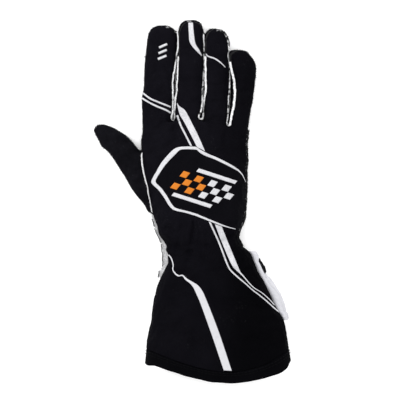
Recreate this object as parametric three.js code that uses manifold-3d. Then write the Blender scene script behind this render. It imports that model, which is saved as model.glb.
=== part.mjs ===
// A right-hand racing glove lying palm down: a fabric back with four fingers, a suede palm,
// fourchettes between the fingers, a thumb, a flared gauntlet cuff with a hem band, outside
// seam edges, a panel on the back of the hand and a white label on the cuff's outer side.
// +Z is up, +Y points along the fingers and the thumb lies towards -X.
// The origin is on the floor under the middle of the palm. Lengths are in millimetres.
import * as THREE from "three";
import { mergeVertices } from "three/addons/utils/BufferGeometryUtils.js";
import Module from "manifold-3d";

const wasm = await Module();
wasm.setup();

// Hand, wrist and cuff
const handWidth = 93.8; // across the knuckles, lying flat
const handHeight = 30; // at the middle of the palm
const knuckleHeight = 18.5;
const palmLength = 106; // wrist to the finger roots at the sides of the knuckles
const knuckleArch = 11.4; // how far the middle of the knuckle line runs ahead of its sides
const knuckleSlant = -0.05; // slope of the knuckle line towards the little finger
const wristY = -52;
const wristWidth = 69.2;
const wristHeight = 31;
const wristCentre = 4.1; // how far the wrist's middle lies towards the little finger
const cuffLength = 111; // wrist to the mouth, along the cuff's sides
const cuffWidth = 130.2; // across the mouth
const cuffHeight = 46; // the mouth's height
const cuffLean = 15.4; // how far the cuff leans to the little finger's side
const hemBow = 19; // the mouth's edge is longer than its sides by this in the middle
const hemBowLean = 0.36; // and its lowest place lies this far towards the little finger
const hemWidth = 12;

// Fabric
const wall = 2;
const palmWall = 2.2; // suede and its backing
const hemThickening = 0.7; // the folded hem stands proud by this on each face
const seamGap = 0.3; // clearance between sewn pieces
const floorPress = 2.5; // depth of the round underside that the floor presses flat
const roundness = 2.3; // exponent of the cross-sections: 2 is an ellipse

// Heights of the side seams, where each cross-section is widest
const fingerSeam = 8;
const knuckleSeam = 9.5;
const palmSeam = 11;
const wristSeam = 13;
const mouthSeam = 19;
const fingerSeamRun = 10; // past the knuckles, where the side seam reaches its height at the fingers

// Fourchettes: the strips in the walls between two fingers
const fourchetteLow = 4.6;
const fourchetteHigh = 12.2;
const fourchetteTipSetback = 9; // how far short of a fingertip a strip ends

// Outside seam edges
const seamEdgeThickness = 1.3;
const seamEdgeHeight = 2.4;
const seamEdgeInset = 1.35; // from a finger's outline to the middle of its seam edge
const seamEdgeSteps = 28; // sections along the edge between two fingers
const sideSeamReach = 1.6; // how far a side seam stands out of the glove
const wristSeamSpread = 2.6; // how much further the edge splays out at the thumb side's wrist
const wristSeamFrom = -35; // Y of its ends
const wristSeamTo = -85;
const outerSeamFrom = 46;
const outerSeamTo = -60;

// Panel on the back of the hand and label
const panelThickness = 1;
const labelThickness = 1.2;
const labelReach = 8.2; // how far the label stands out of the cuff's side
const labelStart = 0.113 * cuffLength; // from the wrist to the label's end
const labelLength = 0.559 * cuffLength;

// Each finger, from its root at the knuckles to its tip. sway bows it sideways half way along,
// and waist is the share of its width that it loses there.
const fingers = {
  index: { rootX: -35.3, tipX: -30.3, tipY: 139, width: 26.6, height: 18, sway: 0, waist: -0.02 },
  middle: { rootX: -6.7, tipX: -4.7, tipY: 144.5, width: 23.8, height: 18, sway: 0, waist: 0.03 },
  ring: { rootX: 17.2, tipX: 17.6, tipY: 136.8, width: 21.6, height: 17, sway: 1.2, waist: 0.03 },
  little: { rootX: 36.4, tipX: 40.4, tipY: 117.4, width: 21.4, height: 16, sway: 3.6, waist: 0.22 },
};
const fingerRootY = 30; // the finger tubes start inside the hand, at this place

// Shares of a finger's length, width and height
const fingerTable = [
  { along: 0, width: 0.8, height: 0.9 },
  { along: 0.2, width: 1.0, height: 1.0 },
  { along: 0.4, width: 1.0, height: 1.0 },
  { along: 0.6, width: 0.99, height: 0.97 },
  { along: 0.78, width: 1.0, height: 0.93 },
  { along: 0.88, width: 1.0, height: 0.88 },
  { along: 0.94, width: 0.93, height: 0.82 },
  { along: 0.98, width: 0.72, height: 0.7 },
  { along: 1, width: 0.38, height: 0.5 },
];

// The thumb's middle line in plan, from inside the hand to its tip: shares of its length ahead
// of its root and of its spread to the side, and shares of its width and height
const thumbRoot = new THREE.Vector2(-27, -22);
const thumbLength = 69.5; // along Y
const thumbSpread = 63.5; // along -X
const thumbWidth = 25;
const thumbHeight = 19;
const thumbTable = [
  { ahead: 0, aside: 0, width: 0.88, height: 0.9 },
  { ahead: 0.151, aside: 0.15, width: 1.16, height: 1.0 },
  { ahead: 0.294, aside: 0.299, width: 1.12, height: 1.0 },
  { ahead: 0.518, aside: 0.466, width: 1.0, height: 0.97 },
  { ahead: 0.652, aside: 0.567, width: 0.98, height: 0.93 },
  { ahead: 0.777, aside: 0.679, width: 0.88, height: 0.87 },
  { ahead: 0.849, aside: 0.772, width: 0.78, height: 0.81 },
  { ahead: 0.906, aside: 0.843, width: 0.68, height: 0.74 },
  { ahead: 0.967, aside: 0.937, width: 0.5, height: 0.62 },
  { ahead: 1, aside: 1, width: 0.24, height: 0.42 },
];

// The hand from wrist to knuckles: shares of the palm's length, of the way from the wrist's
// width, middle and height to the hand's, and of the way on down to the knuckles' height
const handTable = [
  { along: 0.06, width: 0.15, centre: 0.19, height: 0, knuckle: 0 },
  { along: 0.16, width: 0.45, centre: 0.28, height: 0, knuckle: 0 },
  { along: 0.26, width: 0.64, centre: 0.42, height: 0.5, knuckle: 0 },
  { along: 0.36, width: 0.7, centre: 0.47, height: 1, knuckle: 0 },
  { along: 0.49, width: 0.83, centre: 0.63, height: 1, knuckle: 0 },
  { along: 0.62, width: 0.92, centre: 0.86, height: 1, knuckle: 0.12 },
  { along: 0.75, width: 1, centre: 1, height: 1, knuckle: 0.39 },
  { along: 0.88, width: 0.98, centre: 0.93, height: 1, knuckle: 0.66 },
  { along: 0.95, width: 0.95, centre: 0.9, height: 1, knuckle: 0.87 },
  { along: 1, width: 0.9, centre: 0.9, height: 1, knuckle: 1 },
];
const handCentre = -1.7; // how far the hand's middle lies towards the thumb

// The cuff from wrist to mouth: shares of its length, and of the way from the wrist's width,
// middle and height to the mouth's
const cuffTable = [
  { along: 0, width: 0, centre: 0, height: 0 },
  { along: 0.06, width: -0.01, centre: 0.22, height: 0.01 },
  { along: 0.12, width: 0.08, centre: 0.5, height: 0.05 },
  { along: 0.19, width: 0.125, centre: 0.65, height: 0.12 },
  { along: 0.26, width: 0.24, centre: 0.62, height: 0.2 },
  { along: 0.34, width: 0.4, centre: 0.65, height: 0.3 },
  { along: 0.44, width: 0.53, centre: 0.7, height: 0.42 },
  { along: 0.54, width: 0.645, centre: 0.76, height: 0.55 },
  { along: 0.68, width: 0.82, centre: 1, height: 0.72 },
  { along: 0.82, width: 0.92, centre: 1, height: 0.88 },
  { along: 1, width: 1, centre: 1, height: 1 },
];

// The back panel's outline in plan: shares of the hand's half width to each side, and of the
// palm's length from the wrist
const panelOutline = [
  { side: -0.823, along: 0.486 },
  { side: -0.587, along: 0.658 },
  { side: -0.411, along: 0.745 },
  { side: -0.335, along: 0.767 },
  { side: -0.05, along: 0.773 },
  { side: 0.132, along: 0.72 },
  { side: 0.45, along: 0.675 },
  { side: 0.685, along: 0.624 },
  { side: 0.88, along: 0.53 },
  { side: 0.92, along: 0.45 },
  { side: 0.91, along: 0.25 },
  { side: 0.79, along: 0.071 },
  { side: 0.527, along: 0.1 },
  { side: 0.293, along: 0.139 },
  { side: -0.177, along: 0.208 },
  { side: -0.373, along: 0.23 },
  { side: -0.452, along: 0.251 },
  { side: -0.665, along: 0.39 },
];

// The thumb's seam in plan, along the edge of the back: shares of the thumb's length behind its
// upper end and of its spread
const thumbSeamStart = new THREE.Vector2(-47.6, 23);
const thumbSeamTable = [
  { behind: 0, aside: 0 },
  { behind: 0.14, aside: -0.02 },
  { behind: 0.28, aside: -0.05 },
  { behind: 0.42, aside: -0.09 },
  { behind: 0.56, aside: -0.13 },
  { behind: 0.68, aside: -0.15 },
];

// Shares of the wrist seam's extra reach, evenly spaced from the thumb to the cuff
const wristSeamTable = [
  { spread: 0 },
  { spread: 0.3 },
  { spread: 0.55 },
  { spread: 0.8 },
  { spread: 1 },
  { spread: 0.9 },
  { spread: 0.7 },
  { spread: 0.5 },
  { spread: 0.15 },
];

// The label: shares of its length, of its reach, and how far its edge drops as a share of that
const labelTable = [
  { along: 0, reach: 0.8, drop: 0.02 },
  { along: 0.25, reach: 0.65, drop: 0.1 },
  { along: 0.5, reach: 0.83, drop: 0.16 },
  { along: 0.75, reach: 1, drop: 0.12 },
  { along: 1, reach: 0.6, drop: 0.04 },
];

const lerp = THREE.MathUtils.lerp;
const handSides = 28;
const fingerSides = 16;
const farOut = 400; // reaches past the whole glove

// Solids and meshes

function solidFrom(vertices, triangles) {
  const made = new wasm.Manifold(
    new wasm.Mesh({
      numProp: 3,
      vertProperties: new Float32Array(vertices),
      triVerts: new Uint32Array(triangles),
    }),
  );
  if (made.volume() > 0) return made;
  const turned = [];
  for (let i = 0; i < triangles.length; i += 3)
    turned.push(triangles[i], triangles[i + 2], triangles[i + 1]);
  return solidFrom(vertices, turned);
}

function solidFromGeometry(geometry) {
  const bare = geometry.clone().deleteAttribute("normal").deleteAttribute("uv");
  const merged = mergeVertices(bare, 1e-4);
  return solidFrom(merged.attributes.position.array, merged.index.array);
}

// Joins a row of rings, each with as many points, and closes both ends. A ring's points run
// round from its side, so an end is closed by strips between its top and its underside.
function loft(rings) {
  const sides = rings[0].length;
  const vertices = rings.flat().flatMap((p) => [p.x, p.y, p.z]);
  const triangles = [];
  for (let r = 0; r + 1 < rings.length; r++)
    for (let i = 0; i < sides; i++) {
      const next = (i + 1) % sides;
      const [a, b] = [r * sides + i, r * sides + next];
      triangles.push(a, b, b + sides, a, b + sides, a + sides);
    }
  const last = (rings.length - 1) * sides;
  const closeEnds = (a, b, c) => triangles.push(a, c, b, last + a, last + b, last + c);
  const half = sides / 2;
  closeEnds(0, 1, sides - 1);
  for (let i = 1; i + 1 < half; i++) {
    closeEnds(i, i + 1, sides - i - 1);
    closeEnds(i, sides - i - 1, sides - i);
  }
  closeEnds(half - 1, half, half + 1);
  return solidFrom(vertices, triangles);
}

// A plan outline carried from one height to another.
function planPrism(points, low, high) {
  const shape = new THREE.Shape(points.map((p) => new THREE.Vector2(p.x, p.y)));
  const geometry = new THREE.ExtrudeGeometry(shape, { depth: high - low, bevelEnabled: false });
  return solidFromGeometry(geometry.translate(0, 0, low));
}

function meshOf(name, solid, material) {
  const data = solid.getMesh();
  const geometry = new THREE.BufferGeometry();
  geometry.setAttribute("position", new THREE.BufferAttribute(data.vertProperties, data.numProp));
  geometry.setIndex(new THREE.BufferAttribute(data.triVerts, 1));
  geometry.computeVertexNormals();
  const mesh = new THREE.Mesh(geometry, material);
  mesh.name = name;
  return mesh;
}

// Cross-sections

// A section's ring: round on top, widest at its seam height and pressed flat at the floor.
// across is its direction in plan, and bow and skew shift its points along Y.
function sectionRing(section, sides) {
  const { x, y, across, width, top, seam, floor, bow = 0, bowLean = 0, skew = 0 } = section;
  const ring = [];
  for (let i = 0; i < sides; i++) {
    const angle = (2 * Math.PI * i) / sides;
    const power = 2 / roundness;
    const side = Math.sign(Math.cos(angle)) * Math.abs(Math.cos(angle)) ** power;
    const lift = Math.abs(Math.sin(angle)) ** power;
    const reach = (side * width) / 2;
    const depth = seam - floor + floorPress;
    const z = Math.sin(angle) > 0 ? seam + lift * (top - seam) : seam - lift * depth;
    ring.push(
      new THREE.Vector3(
        x + reach * across.x,
        y + reach * across.y + bow * (1 - side * side) * (1 + bowLean * side) + skew * reach,
        Math.max(z, floor),
      ),
    );
  }
  return ring;
}

const acrossHand = new THREE.Vector2(1, 0);

// Value of a table's column at any place along it.
function tableAt(table, column, along) {
  const next = table.findIndex((row) => row.along >= along);
  if (next === 0) return table[0][column];
  if (next < 0) return table.at(-1)[column];
  const [a, b] = [table[next - 1], table[next]];
  return lerp(a[column], b[column], (along - a.along) / (b.along - a.along));
}

const cuffBow = (along) => -hemBow * Math.min(1, along / (1 - hemWidth / cuffLength)) ** 2;

function cuffSection(along, grow, thickness) {
  const share = (column) => tableAt(cuffTable, column, along);
  return {
    x: wristCentre + cuffLean * share("centre"),
    y: wristY - cuffLength * along,
    across: acrossHand,
    width: lerp(wristWidth, cuffWidth, share("width")) + 2 * grow,
    top: lerp(wristHeight, cuffHeight, share("height")) + grow,
    seam: lerp(wristSeam, mouthSeam, along),
    floor: grow < 0 ? thickness : -grow,
    bow: cuffBow(along),
    bowLean: hemBowLean,
  };
}

function handSection(row, grow, thickness) {
  const towardsKnuckles = THREE.MathUtils.smoothstep(row.along, 0.5, 1);
  const nearKnuckles = Math.min(1, row.along / 0.95) ** 2;
  const top = lerp(lerp(wristHeight, handHeight, row.height), knuckleHeight, row.knuckle);
  return {
    x: lerp(wristCentre, handCentre, row.centre),
    y: wristY + palmLength * row.along - knuckleArch * towardsKnuckles,
    across: acrossHand,
    width: lerp(wristWidth, handWidth, row.width) + 2 * grow,
    top: top + grow,
    seam: lerp(lerp(wristSeam, palmSeam, Math.min(1, 2 * row.along)), knuckleSeam, nearKnuckles),
    floor: grow < 0 ? thickness : -grow,
    bow: knuckleArch * towardsKnuckles,
    skew: knuckleSlant * towardsKnuckles,
  };
}

const hemStart = 1 - hemWidth / cuffLength;
const handEnd = (grow, thickness) => handSection(handTable.at(-1), grow, thickness);

// The hand and cuff in one tube, from the hem's edge to the knuckles. Grown outwards by grow,
// or inwards by its wall where grow is negative; an inner tube runs on out of the cuff.
function handTube(grow, thickness = wall) {
  const inner = grow < 0;
  const sections = cuffTable
    .filter((row) => row.along < hemStart - 0.03)
    .map((row) => cuffSection(row.along, grow, thickness));
  sections.push(cuffSection(hemStart - seamGap / cuffLength, grow, thickness));
  if (inner) {
    const mouth = sections.at(-1);
    sections.push({ ...mouth, y: mouth.y - hemWidth - hemBow });
  }
  sections.reverse();
  for (const row of handTable.slice(0, -1)) sections.push(handSection(row, grow, thickness));
  const end = handEnd(grow, thickness);
  sections.push({ ...end, y: end.y + grow });
  return loft(sections.map((section) => sectionRing(section, handSides)));
}

function fingerX(finger, along) {
  const outside = Math.max(0, along - 0.2) / 0.8;
  return lerp(finger.rootX, finger.tipX, outside) + finger.sway * Math.sin(Math.PI * outside);
}

function fingerWidth(finger, along, share) {
  return finger.width * share * (1 - finger.waist * Math.sin(Math.PI * Math.min(1, along / 0.8)));
}

function fingerTube(finger, grow, thickness = wall) {
  const tipY = finger.tipY + grow;
  const rings = fingerTable.map((row) =>
    sectionRing(
      {
        x: fingerX(finger, row.along),
        y: lerp(fingerRootY, tipY, row.along),
        across: acrossHand,
        width: fingerWidth(finger, row.along, row.width) + 2 * grow * row.width,
        top: lerp(fingerSeam, finger.height + grow, (row.height - 0.4) / 0.6),
        seam: fingerSeam,
        floor: grow < 0 ? thickness : -grow,
      },
      fingerSides,
    ),
  );
  return loft(rings);
}

const thumbLine = new THREE.CatmullRomCurve3(
  thumbTable.map(
    (row) =>
      new THREE.Vector3(thumbRoot.x - thumbSpread * row.aside, thumbRoot.y + thumbLength * row.ahead, 0),
  ),
);

function thumbTube(grow, thickness = wall) {
  const last = thumbTable.length - 1;
  const rings = thumbTable.map((row, i) => {
    const place = thumbLine.getPoint(i / last);
    const heading = thumbLine.getTangent(i / last);
    const set = i === last ? grow : 0;
    return sectionRing(
      {
        x: place.x + heading.x * set,
        y: place.y + heading.y * set,
        across: new THREE.Vector2(heading.y, -heading.x),
        width: (thumbWidth + 2 * grow) * row.width,
        top: lerp(fingerSeam, thumbHeight + grow, (row.height - 0.3) / 0.7),
        seam: fingerSeam,
        floor: grow < 0 ? thickness : -grow,
      },
      fingerSides,
    );
  });
  return loft(rings);
}

const union = (solids) => solids.reduce((a, b) => a.add(b));

function handWithFingers(grow, thickness) {
  const tubes = Object.values(fingers).map((finger) => fingerTube(finger, grow, thickness));
  return union([handTube(grow, thickness), ...tubes]);
}

const outside = handWithFingers(0);
const inside = handWithFingers(-wall, palmWall);
const thumbInside = thumbTube(-wall, palmWall);
const shell = outside.subtract(inside).subtract(thumbInside);

// Panels cut from the shell

// The side seam's line: its height at each place along the glove.
const seamLine = [
  [-farOut, mouthSeam],
  [wristY - cuffLength, mouthSeam],
  [wristY, wristSeam],
  [0, palmSeam],
  [fingerRootY, knuckleSeam],
  [fingerRootY + knuckleArch + fingerSeamRun, fingerSeam],
  [farOut, fingerSeam],
];

function seamHeightAt(y) {
  const next = seamLine.findIndex(([at]) => at > y);
  const [[fromY, fromZ], [toY, toZ]] = [seamLine[next - 1], seamLine[next]];
  return lerp(fromZ, toZ, (y - fromY) / (toY - fromY));
}

// Everything above the side seam, or below it, less half the gap between the panels. The seam
// is level where its height is given.
function seamHalf(above, level) {
  const shift = above ? seamGap / 2 : -seamGap / 2;
  const points = seamLine.map(([y, z]) => new THREE.Vector2(y, (level ?? z) + shift));
  const far = above ? farOut : -farOut;
  const shape = new THREE.Shape([
    ...points,
    new THREE.Vector2(farOut, far),
    new THREE.Vector2(-farOut, far),
  ]);
  const geometry = new THREE.ExtrudeGeometry(shape, { depth: 2 * farOut, bevelEnabled: false });
  // The extrusion runs along X, and its outline lies in the YZ plane.
  const turn = new THREE.Matrix4().makeBasis(
    new THREE.Vector3(0, 1, 0),
    new THREE.Vector3(0, 0, 1),
    new THREE.Vector3(1, 0, 0),
  );
  return solidFromGeometry(geometry.applyMatrix4(turn).translate(-farOut, 0, 0));
}

// The room between two fingers' middle lines, from below the knuckles to short of the tips.
function betweenFingers(a, b, low, high, grow) {
  const steps = [0, 0.3, 0.6, 0.9];
  const lineOf = (finger) => {
    const endY = finger.tipY - fourchetteTipSetback + grow;
    return steps.map((share) => {
      const y = lerp(fingerRootY - grow, endY, share / 0.9);
      const along = (y - fingerRootY) / (finger.tipY - fingerRootY);
      return new THREE.Vector2(fingerX(finger, along), y);
    });
  };
  return planPrism([...lineOf(b), ...lineOf(a).reverse()], low, high);
}

const fingerPairs = [
  ["index", "middle"],
  ["middle", "ring"],
  ["ring", "little"],
];
const fourchetteRoom = (grow) =>
  union(
    fingerPairs.map(([a, b]) =>
      betweenFingers(fingers[a], fingers[b], fourchetteLow - grow, fourchetteHigh + grow, grow),
    ),
  );
const cutForFourchettes = fourchetteRoom(seamGap);

// The palm's suede ends at the wrist, where the cuff's own underside starts. The back divides
// there too, along the wrist's elastic.
const slabAlongY = (from, to) =>
  planPrism(
    [
      new THREE.Vector2(-farOut, from),
      new THREE.Vector2(farOut, from),
      new THREE.Vector2(farOut, to),
      new THREE.Vector2(-farOut, to),
    ],
    -farOut,
    farOut,
  );

// Back panel: a sheet that follows the back of the hand within its outline, or the room that
// it needs where room is the clearance round it.
function backPanel(room = 0) {
  const points = panelOutline.map(
    ({ side, along }) =>
      new THREE.Vector2(handCentre + (side * handWidth) / 2, wristY + along * palmLength),
  );
  const centre = points.reduce((a, b) => a.clone().add(b)).divideScalar(points.length);
  for (const point of points) {
    const outwards = point.clone().sub(centre).setLength(2 * room);
    point.add(outwards);
  }
  const sheet = handTube(seamGap + panelThickness + room, 0).subtract(handTube(seamGap - room, 0));
  return sheet.intersect(planPrism(points, palmSeam, farOut));
}

const backHalf = shell.intersect(seamHalf(true)).subtract(cutForFourchettes);
const backFabric = backHalf.intersect(slabAlongY(wristY, farOut));
const cuffBack = backHalf.intersect(slabAlongY(-farOut, wristY - seamGap));
const palmHalf = shell.intersect(seamHalf(false)).subtract(cutForFourchettes);
const palmSuede = palmHalf.intersect(slabAlongY(wristY, farOut));
const cuffUnderside = palmHalf.intersect(slabAlongY(-farOut, wristY - seamGap));
const thumb = thumbTube(0)
  .subtract(thumbInside)
  .subtract(handWithFingers(seamGap, 0))
  .subtract(backPanel(seamGap));
const thumbBack = thumb.intersect(seamHalf(true, fingerSeam));
const thumbFront = thumb.intersect(seamHalf(false, fingerSeam));

// The hem is a folded band round the mouth.
function hemTube(grow) {
  const steps = [hemStart + seamGap / cuffLength, (1 + hemStart) / 2, 1];
  const sections = steps.map((along) => cuffSection(along, grow, wall + hemThickening));
  if (grow < 0) {
    sections[0].y += 2 * hemWidth;
    sections[2].y -= 2 * hemWidth;
  }
  return sections;
}

function hemBand() {
  const outer = hemTube(hemThickening).map((section) => ({ ...section, floor: 0 }));
  const inner = hemTube(-wall - hemThickening);
  const tube = (sections) => loft(sections.map((section) => sectionRing(section, handSides)));
  return tube(outer).subtract(tube(inner));
}

// Fourchettes

const fourchettes = fingerPairs.map(([a, b]) =>
  shell.intersect(betweenFingers(fingers[a], fingers[b], fourchetteLow, fourchetteHigh, 0)),
);

// Outside seam edges

const outerSurface = new THREE.Mesh(
  meshOf("outer_surface", outside.add(thumbTube(0))).geometry,
  new THREE.MeshBasicMaterial({ side: THREE.DoubleSide }),
);
const probe = new THREE.Raycaster();

function surfaceHit(from, heading) {
  probe.set(from, heading);
  const hits = probe.intersectObject(outerSurface);
  return hits.length ? hits[0].point : null;
}

const topAt = (x, y) =>
  surfaceHit(new THREE.Vector3(x, y, farOut), new THREE.Vector3(0, 0, -1))?.z ?? fingerSeam;

// X of the glove's side at a place along it, on the side seam. side is 1 or -1.
function sideAt(y, z, side) {
  const from = new THREE.Vector3(side * farOut, y, z);
  return surfaceHit(from, new THREE.Vector3(-side, 0, 0)).x;
}

const surroundings = union([
  handWithFingers(seamGap, 0),
  thumbTube(seamGap, 0),
  backPanel(seamGap),
]);

// A finger's outline in plan, inset, from beside its tip down one side. side is 1 or -1.
function fingerEdge(finger, side, inset, lastY) {
  const reachY = finger.tipY - inset;
  const round = 0.42 * finger.width;
  const place = (y) => (y - fingerRootY) / (finger.tipY - fingerRootY);
  const half = (y) => fingerWidth(finger, place(y), 1) / 2 - inset;
  const points = [];
  for (const turn of [0.12, 0.3, 0.5, 0.7, 0.86]) {
    const angle = (turn * Math.PI) / 2;
    const y = reachY - round * (1 - Math.cos(angle));
    points.push([fingerX(finger, place(y)) + side * half(y) * Math.sin(angle) ** 0.7, y]);
  }
  const steps = 8;
  for (let i = 0; i <= steps; i++) {
    const y = lerp(reachY - round, lastY, i / steps);
    points.push([fingerX(finger, place(y)) + side * half(y), y]);
  }
  return points.map(([x, y]) => new THREE.Vector3(x, y, 0));
}

// Y of the hand's end at a place across it, which is where two fingers part.
function crotchAt(x) {
  const end = handEnd(0, 0);
  const side = (x - end.x) / (end.width / 2);
  return end.y + end.bow * (1 - side * side) + end.skew * (x - end.x);
}

// A standing edge of even thickness along a line in plan, with its foot on the glove.
function standingEdge(line, steps, height, foot) {
  const sections = [];
  for (let i = 0; i <= steps; i++) {
    const place = line.getPoint(i / steps);
    const heading = line.getTangent(i / steps);
    const half = new THREE.Vector3(-heading.y, heading.x, 0).setLength(seamEdgeThickness / 2);
    const outer = place.clone().add(half);
    const inner = place.clone().sub(half);
    const high = Math.max(topAt(outer.x, outer.y), topAt(inner.x, inner.y)) + seamGap + height;
    const corner = (p, z) => new THREE.Vector3(p.x, p.y, z);
    sections.push([corner(inner, foot), corner(outer, foot), corner(outer, high), corner(inner, high)]);
  }
  return loft(sections).subtract(surroundings);
}

// The raw edges between two fingers: down one finger, round the crotch and up the next.
function fingerSeamEdge(a, b) {
  const middleX = (a.rootX + a.width / 2 + b.rootX - b.width / 2) / 2;
  const crotchY = crotchAt(middleX) - seamEdgeInset;
  const down = fingerEdge(a, 1, seamEdgeInset, crotchY + 2 * seamEdgeInset);
  const up = fingerEdge(b, -1, seamEdgeInset, crotchY + 2 * seamEdgeInset).reverse();
  const points = [...down, new THREE.Vector3(middleX, crotchY, 0), ...up];
  const line = new THREE.CatmullRomCurve3(points, false, "centripetal");
  return standingEdge(line, seamEdgeSteps, seamEdgeHeight, fingerSeam);
}

// A seam edge that lies out from the glove's side. reach is how far it stands out at each step.
function sideSeamEdge(side, fromY, toY, reaches) {
  const sections = reaches.map((reach, i) => {
    const y = lerp(fromY, toY, i / (reaches.length - 1));
    const z = seamHeightAt(y);
    const x = sideAt(y, z, side);
    const root = x - (side * wall) / 2;
    const tip = x + side * (seamGap + reach);
    const half = seamEdgeThickness / 2;
    return [
      new THREE.Vector3(root, y, z - half),
      new THREE.Vector3(tip, y, z - half),
      new THREE.Vector3(tip, y, z + half),
      new THREE.Vector3(root, y, z + half),
    ];
  });
  return loft(sections).subtract(surroundings);
}

// Label: a strip caught in the cuff's outer seam, standing out from its side.
function labelStrip() {
  const sections = labelTable.map(({ along, reach, drop }) => {
    const y = wristY - labelStart - labelLength * along;
    const z = seamHeightAt(y);
    const x = sideAt(y, z, 1);
    const tip = x + seamGap + labelReach * reach;
    const half = labelThickness / 2;
    return [
      new THREE.Vector3(x - wall / 2, y, z - half),
      new THREE.Vector3(tip, y, z - half - drop * labelReach),
      new THREE.Vector3(tip, y, z + half - drop * labelReach),
      new THREE.Vector3(x - wall / 2, y, z + half),
    ];
  });
  return loft(sections).subtract(surroundings);
}

const thumbSeamLine = new THREE.CatmullRomCurve3(
  thumbSeamTable.map(
    (row) =>
      new THREE.Vector3(
        thumbSeamStart.x - thumbSpread * row.aside,
        thumbSeamStart.y - thumbLength * row.behind,
        0,
      ),
  ),
);

const materials = {
  fabric: new THREE.MeshStandardMaterial({ color: 0x14141a, roughness: 0.92 }),
  suede: new THREE.MeshStandardMaterial({ color: 0x17171a, roughness: 0.95 }),
  rawEdge: new THREE.MeshStandardMaterial({ color: 0xd8d8dc, roughness: 0.95 }),
  panel: new THREE.MeshStandardMaterial({ color: 0x121212, roughness: 0.6 }),
  label: new THREE.MeshStandardMaterial({ color: 0xf2f2f6, roughness: 0.7 }),
};

const glove = new THREE.Group();
glove.add(meshOf("back_fabric", backFabric, materials.fabric));
glove.add(meshOf("cuff_back", cuffBack, materials.fabric));
glove.add(meshOf("palm_suede", palmSuede, materials.suede));
glove.add(meshOf("cuff_underside", cuffUnderside, materials.fabric));
glove.add(meshOf("thumb_back", thumbBack, materials.suede));
glove.add(meshOf("thumb_front", thumbFront, materials.suede));
glove.add(meshOf("cuff_hem", hemBand(), materials.fabric));
glove.add(meshOf("back_panel", backPanel(), materials.panel));
fingerPairs.forEach(([a, b], i) => {
  glove.add(meshOf(`fourchette_${a}_${b}`, fourchettes[i], materials.fabric));
  const edge = fingerSeamEdge(fingers[a], fingers[b]);
  glove.add(meshOf(`seam_edge_${a}_${b}`, edge, materials.rawEdge));
});
const thumbSeam = standingEdge(thumbSeamLine, 14, seamEdgeHeight, fingerSeam);
glove.add(meshOf("seam_edge_thumb", thumbSeam, materials.rawEdge));
const wristReaches = wristSeamTable.map((row) => sideSeamReach + wristSeamSpread * row.spread);
const wristSeamEdge = sideSeamEdge(-1, wristSeamFrom, wristSeamTo, wristReaches);
glove.add(meshOf("seam_edge_wrist", wristSeamEdge, materials.rawEdge));
const outerReaches = Array(9).fill(sideSeamReach);
const outerSeamEdge = sideSeamEdge(1, outerSeamFrom, outerSeamTo, outerReaches);
glove.add(meshOf("seam_edge_outer", outerSeamEdge, materials.fabric));
glove.add(meshOf("label", labelStrip(), materials.label));

export default glove;
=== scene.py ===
import math
import random

import bmesh
import bpy
import numpy as np
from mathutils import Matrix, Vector, noise
from mathutils.bvhtree import BVHTree


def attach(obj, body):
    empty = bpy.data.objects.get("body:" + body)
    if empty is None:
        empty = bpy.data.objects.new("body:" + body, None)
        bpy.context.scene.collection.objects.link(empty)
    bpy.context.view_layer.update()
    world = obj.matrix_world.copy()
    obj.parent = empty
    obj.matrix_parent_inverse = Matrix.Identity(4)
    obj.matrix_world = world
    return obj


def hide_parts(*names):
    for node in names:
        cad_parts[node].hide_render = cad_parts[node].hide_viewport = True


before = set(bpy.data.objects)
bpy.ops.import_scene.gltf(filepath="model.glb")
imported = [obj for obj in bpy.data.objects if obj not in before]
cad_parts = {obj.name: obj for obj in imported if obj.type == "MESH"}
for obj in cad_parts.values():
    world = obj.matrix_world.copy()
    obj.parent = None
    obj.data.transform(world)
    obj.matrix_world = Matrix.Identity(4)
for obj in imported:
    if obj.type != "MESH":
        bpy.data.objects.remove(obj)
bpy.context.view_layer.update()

# Shapes are worked out in millimetres and made metres when a piece is finished.
mm = 0.001


# ---- small helpers

def lerp(a, b, t):
    return a + (b - a) * t


def smooth(t):
    t = min(1.0, max(0.0, t))
    return t * t * (3 - 2 * t)


def tableOf(columns, rows):
    return [dict(zip(columns, row)) for row in rows]


def alongTable(rows, column, along):
    # a smooth curve through one column of a table
    places = [row["along"] for row in rows]
    values = [row[column] for row in rows]
    if along <= places[0]:
        return values[0]
    if along >= places[-1]:
        return values[-1]
    i = next(k for k in range(len(places) - 1) if places[k + 1] >= along)

    def slope(k):
        if k == 0 or k == len(places) - 1:
            a, b = max(0, k - 1), min(len(places) - 1, k + 1)
        else:
            a, b = k - 1, k + 1
        return (values[b] - values[a]) / (places[b] - places[a])

    span = places[i + 1] - places[i]
    t = (along - places[i]) / span
    m0, m1 = slope(i) * span, slope(i + 1) * span
    return ((2 * t ** 3 - 3 * t ** 2 + 1) * values[i] + (t ** 3 - 2 * t ** 2 + t) * m0
            + (3 * t ** 2 - 2 * t ** 3) * values[i + 1] + (t ** 3 - t ** 2) * m1)


def curvePoint(points, i, t):
    # a place on the smooth curve between point i and the next
    p1, p2 = points[i], points[i + 1]
    p0 = points[i - 1] if i else p1 * 2 - p2
    p3 = points[i + 2] if i + 2 < len(points) else p2 * 2 - p1
    t1 = max(1e-4, (p1 - p0).length) ** 0.5
    t2 = t1 + max(1e-4, (p2 - p1).length) ** 0.5
    t3 = t2 + max(1e-4, (p3 - p2).length) ** 0.5
    u = lerp(t1, t2, t)
    a1 = p0.lerp(p1, u / t1)
    a2 = p1.lerp(p2, (u - t1) / (t2 - t1))
    a3 = p2.lerp(p3, (u - t2) / (t3 - t2))
    return a1.lerp(a2, u / t2).lerp(a2.lerp(a3, (u - t1) / (t3 - t1)), (u - t1) / (t2 - t1))


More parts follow.
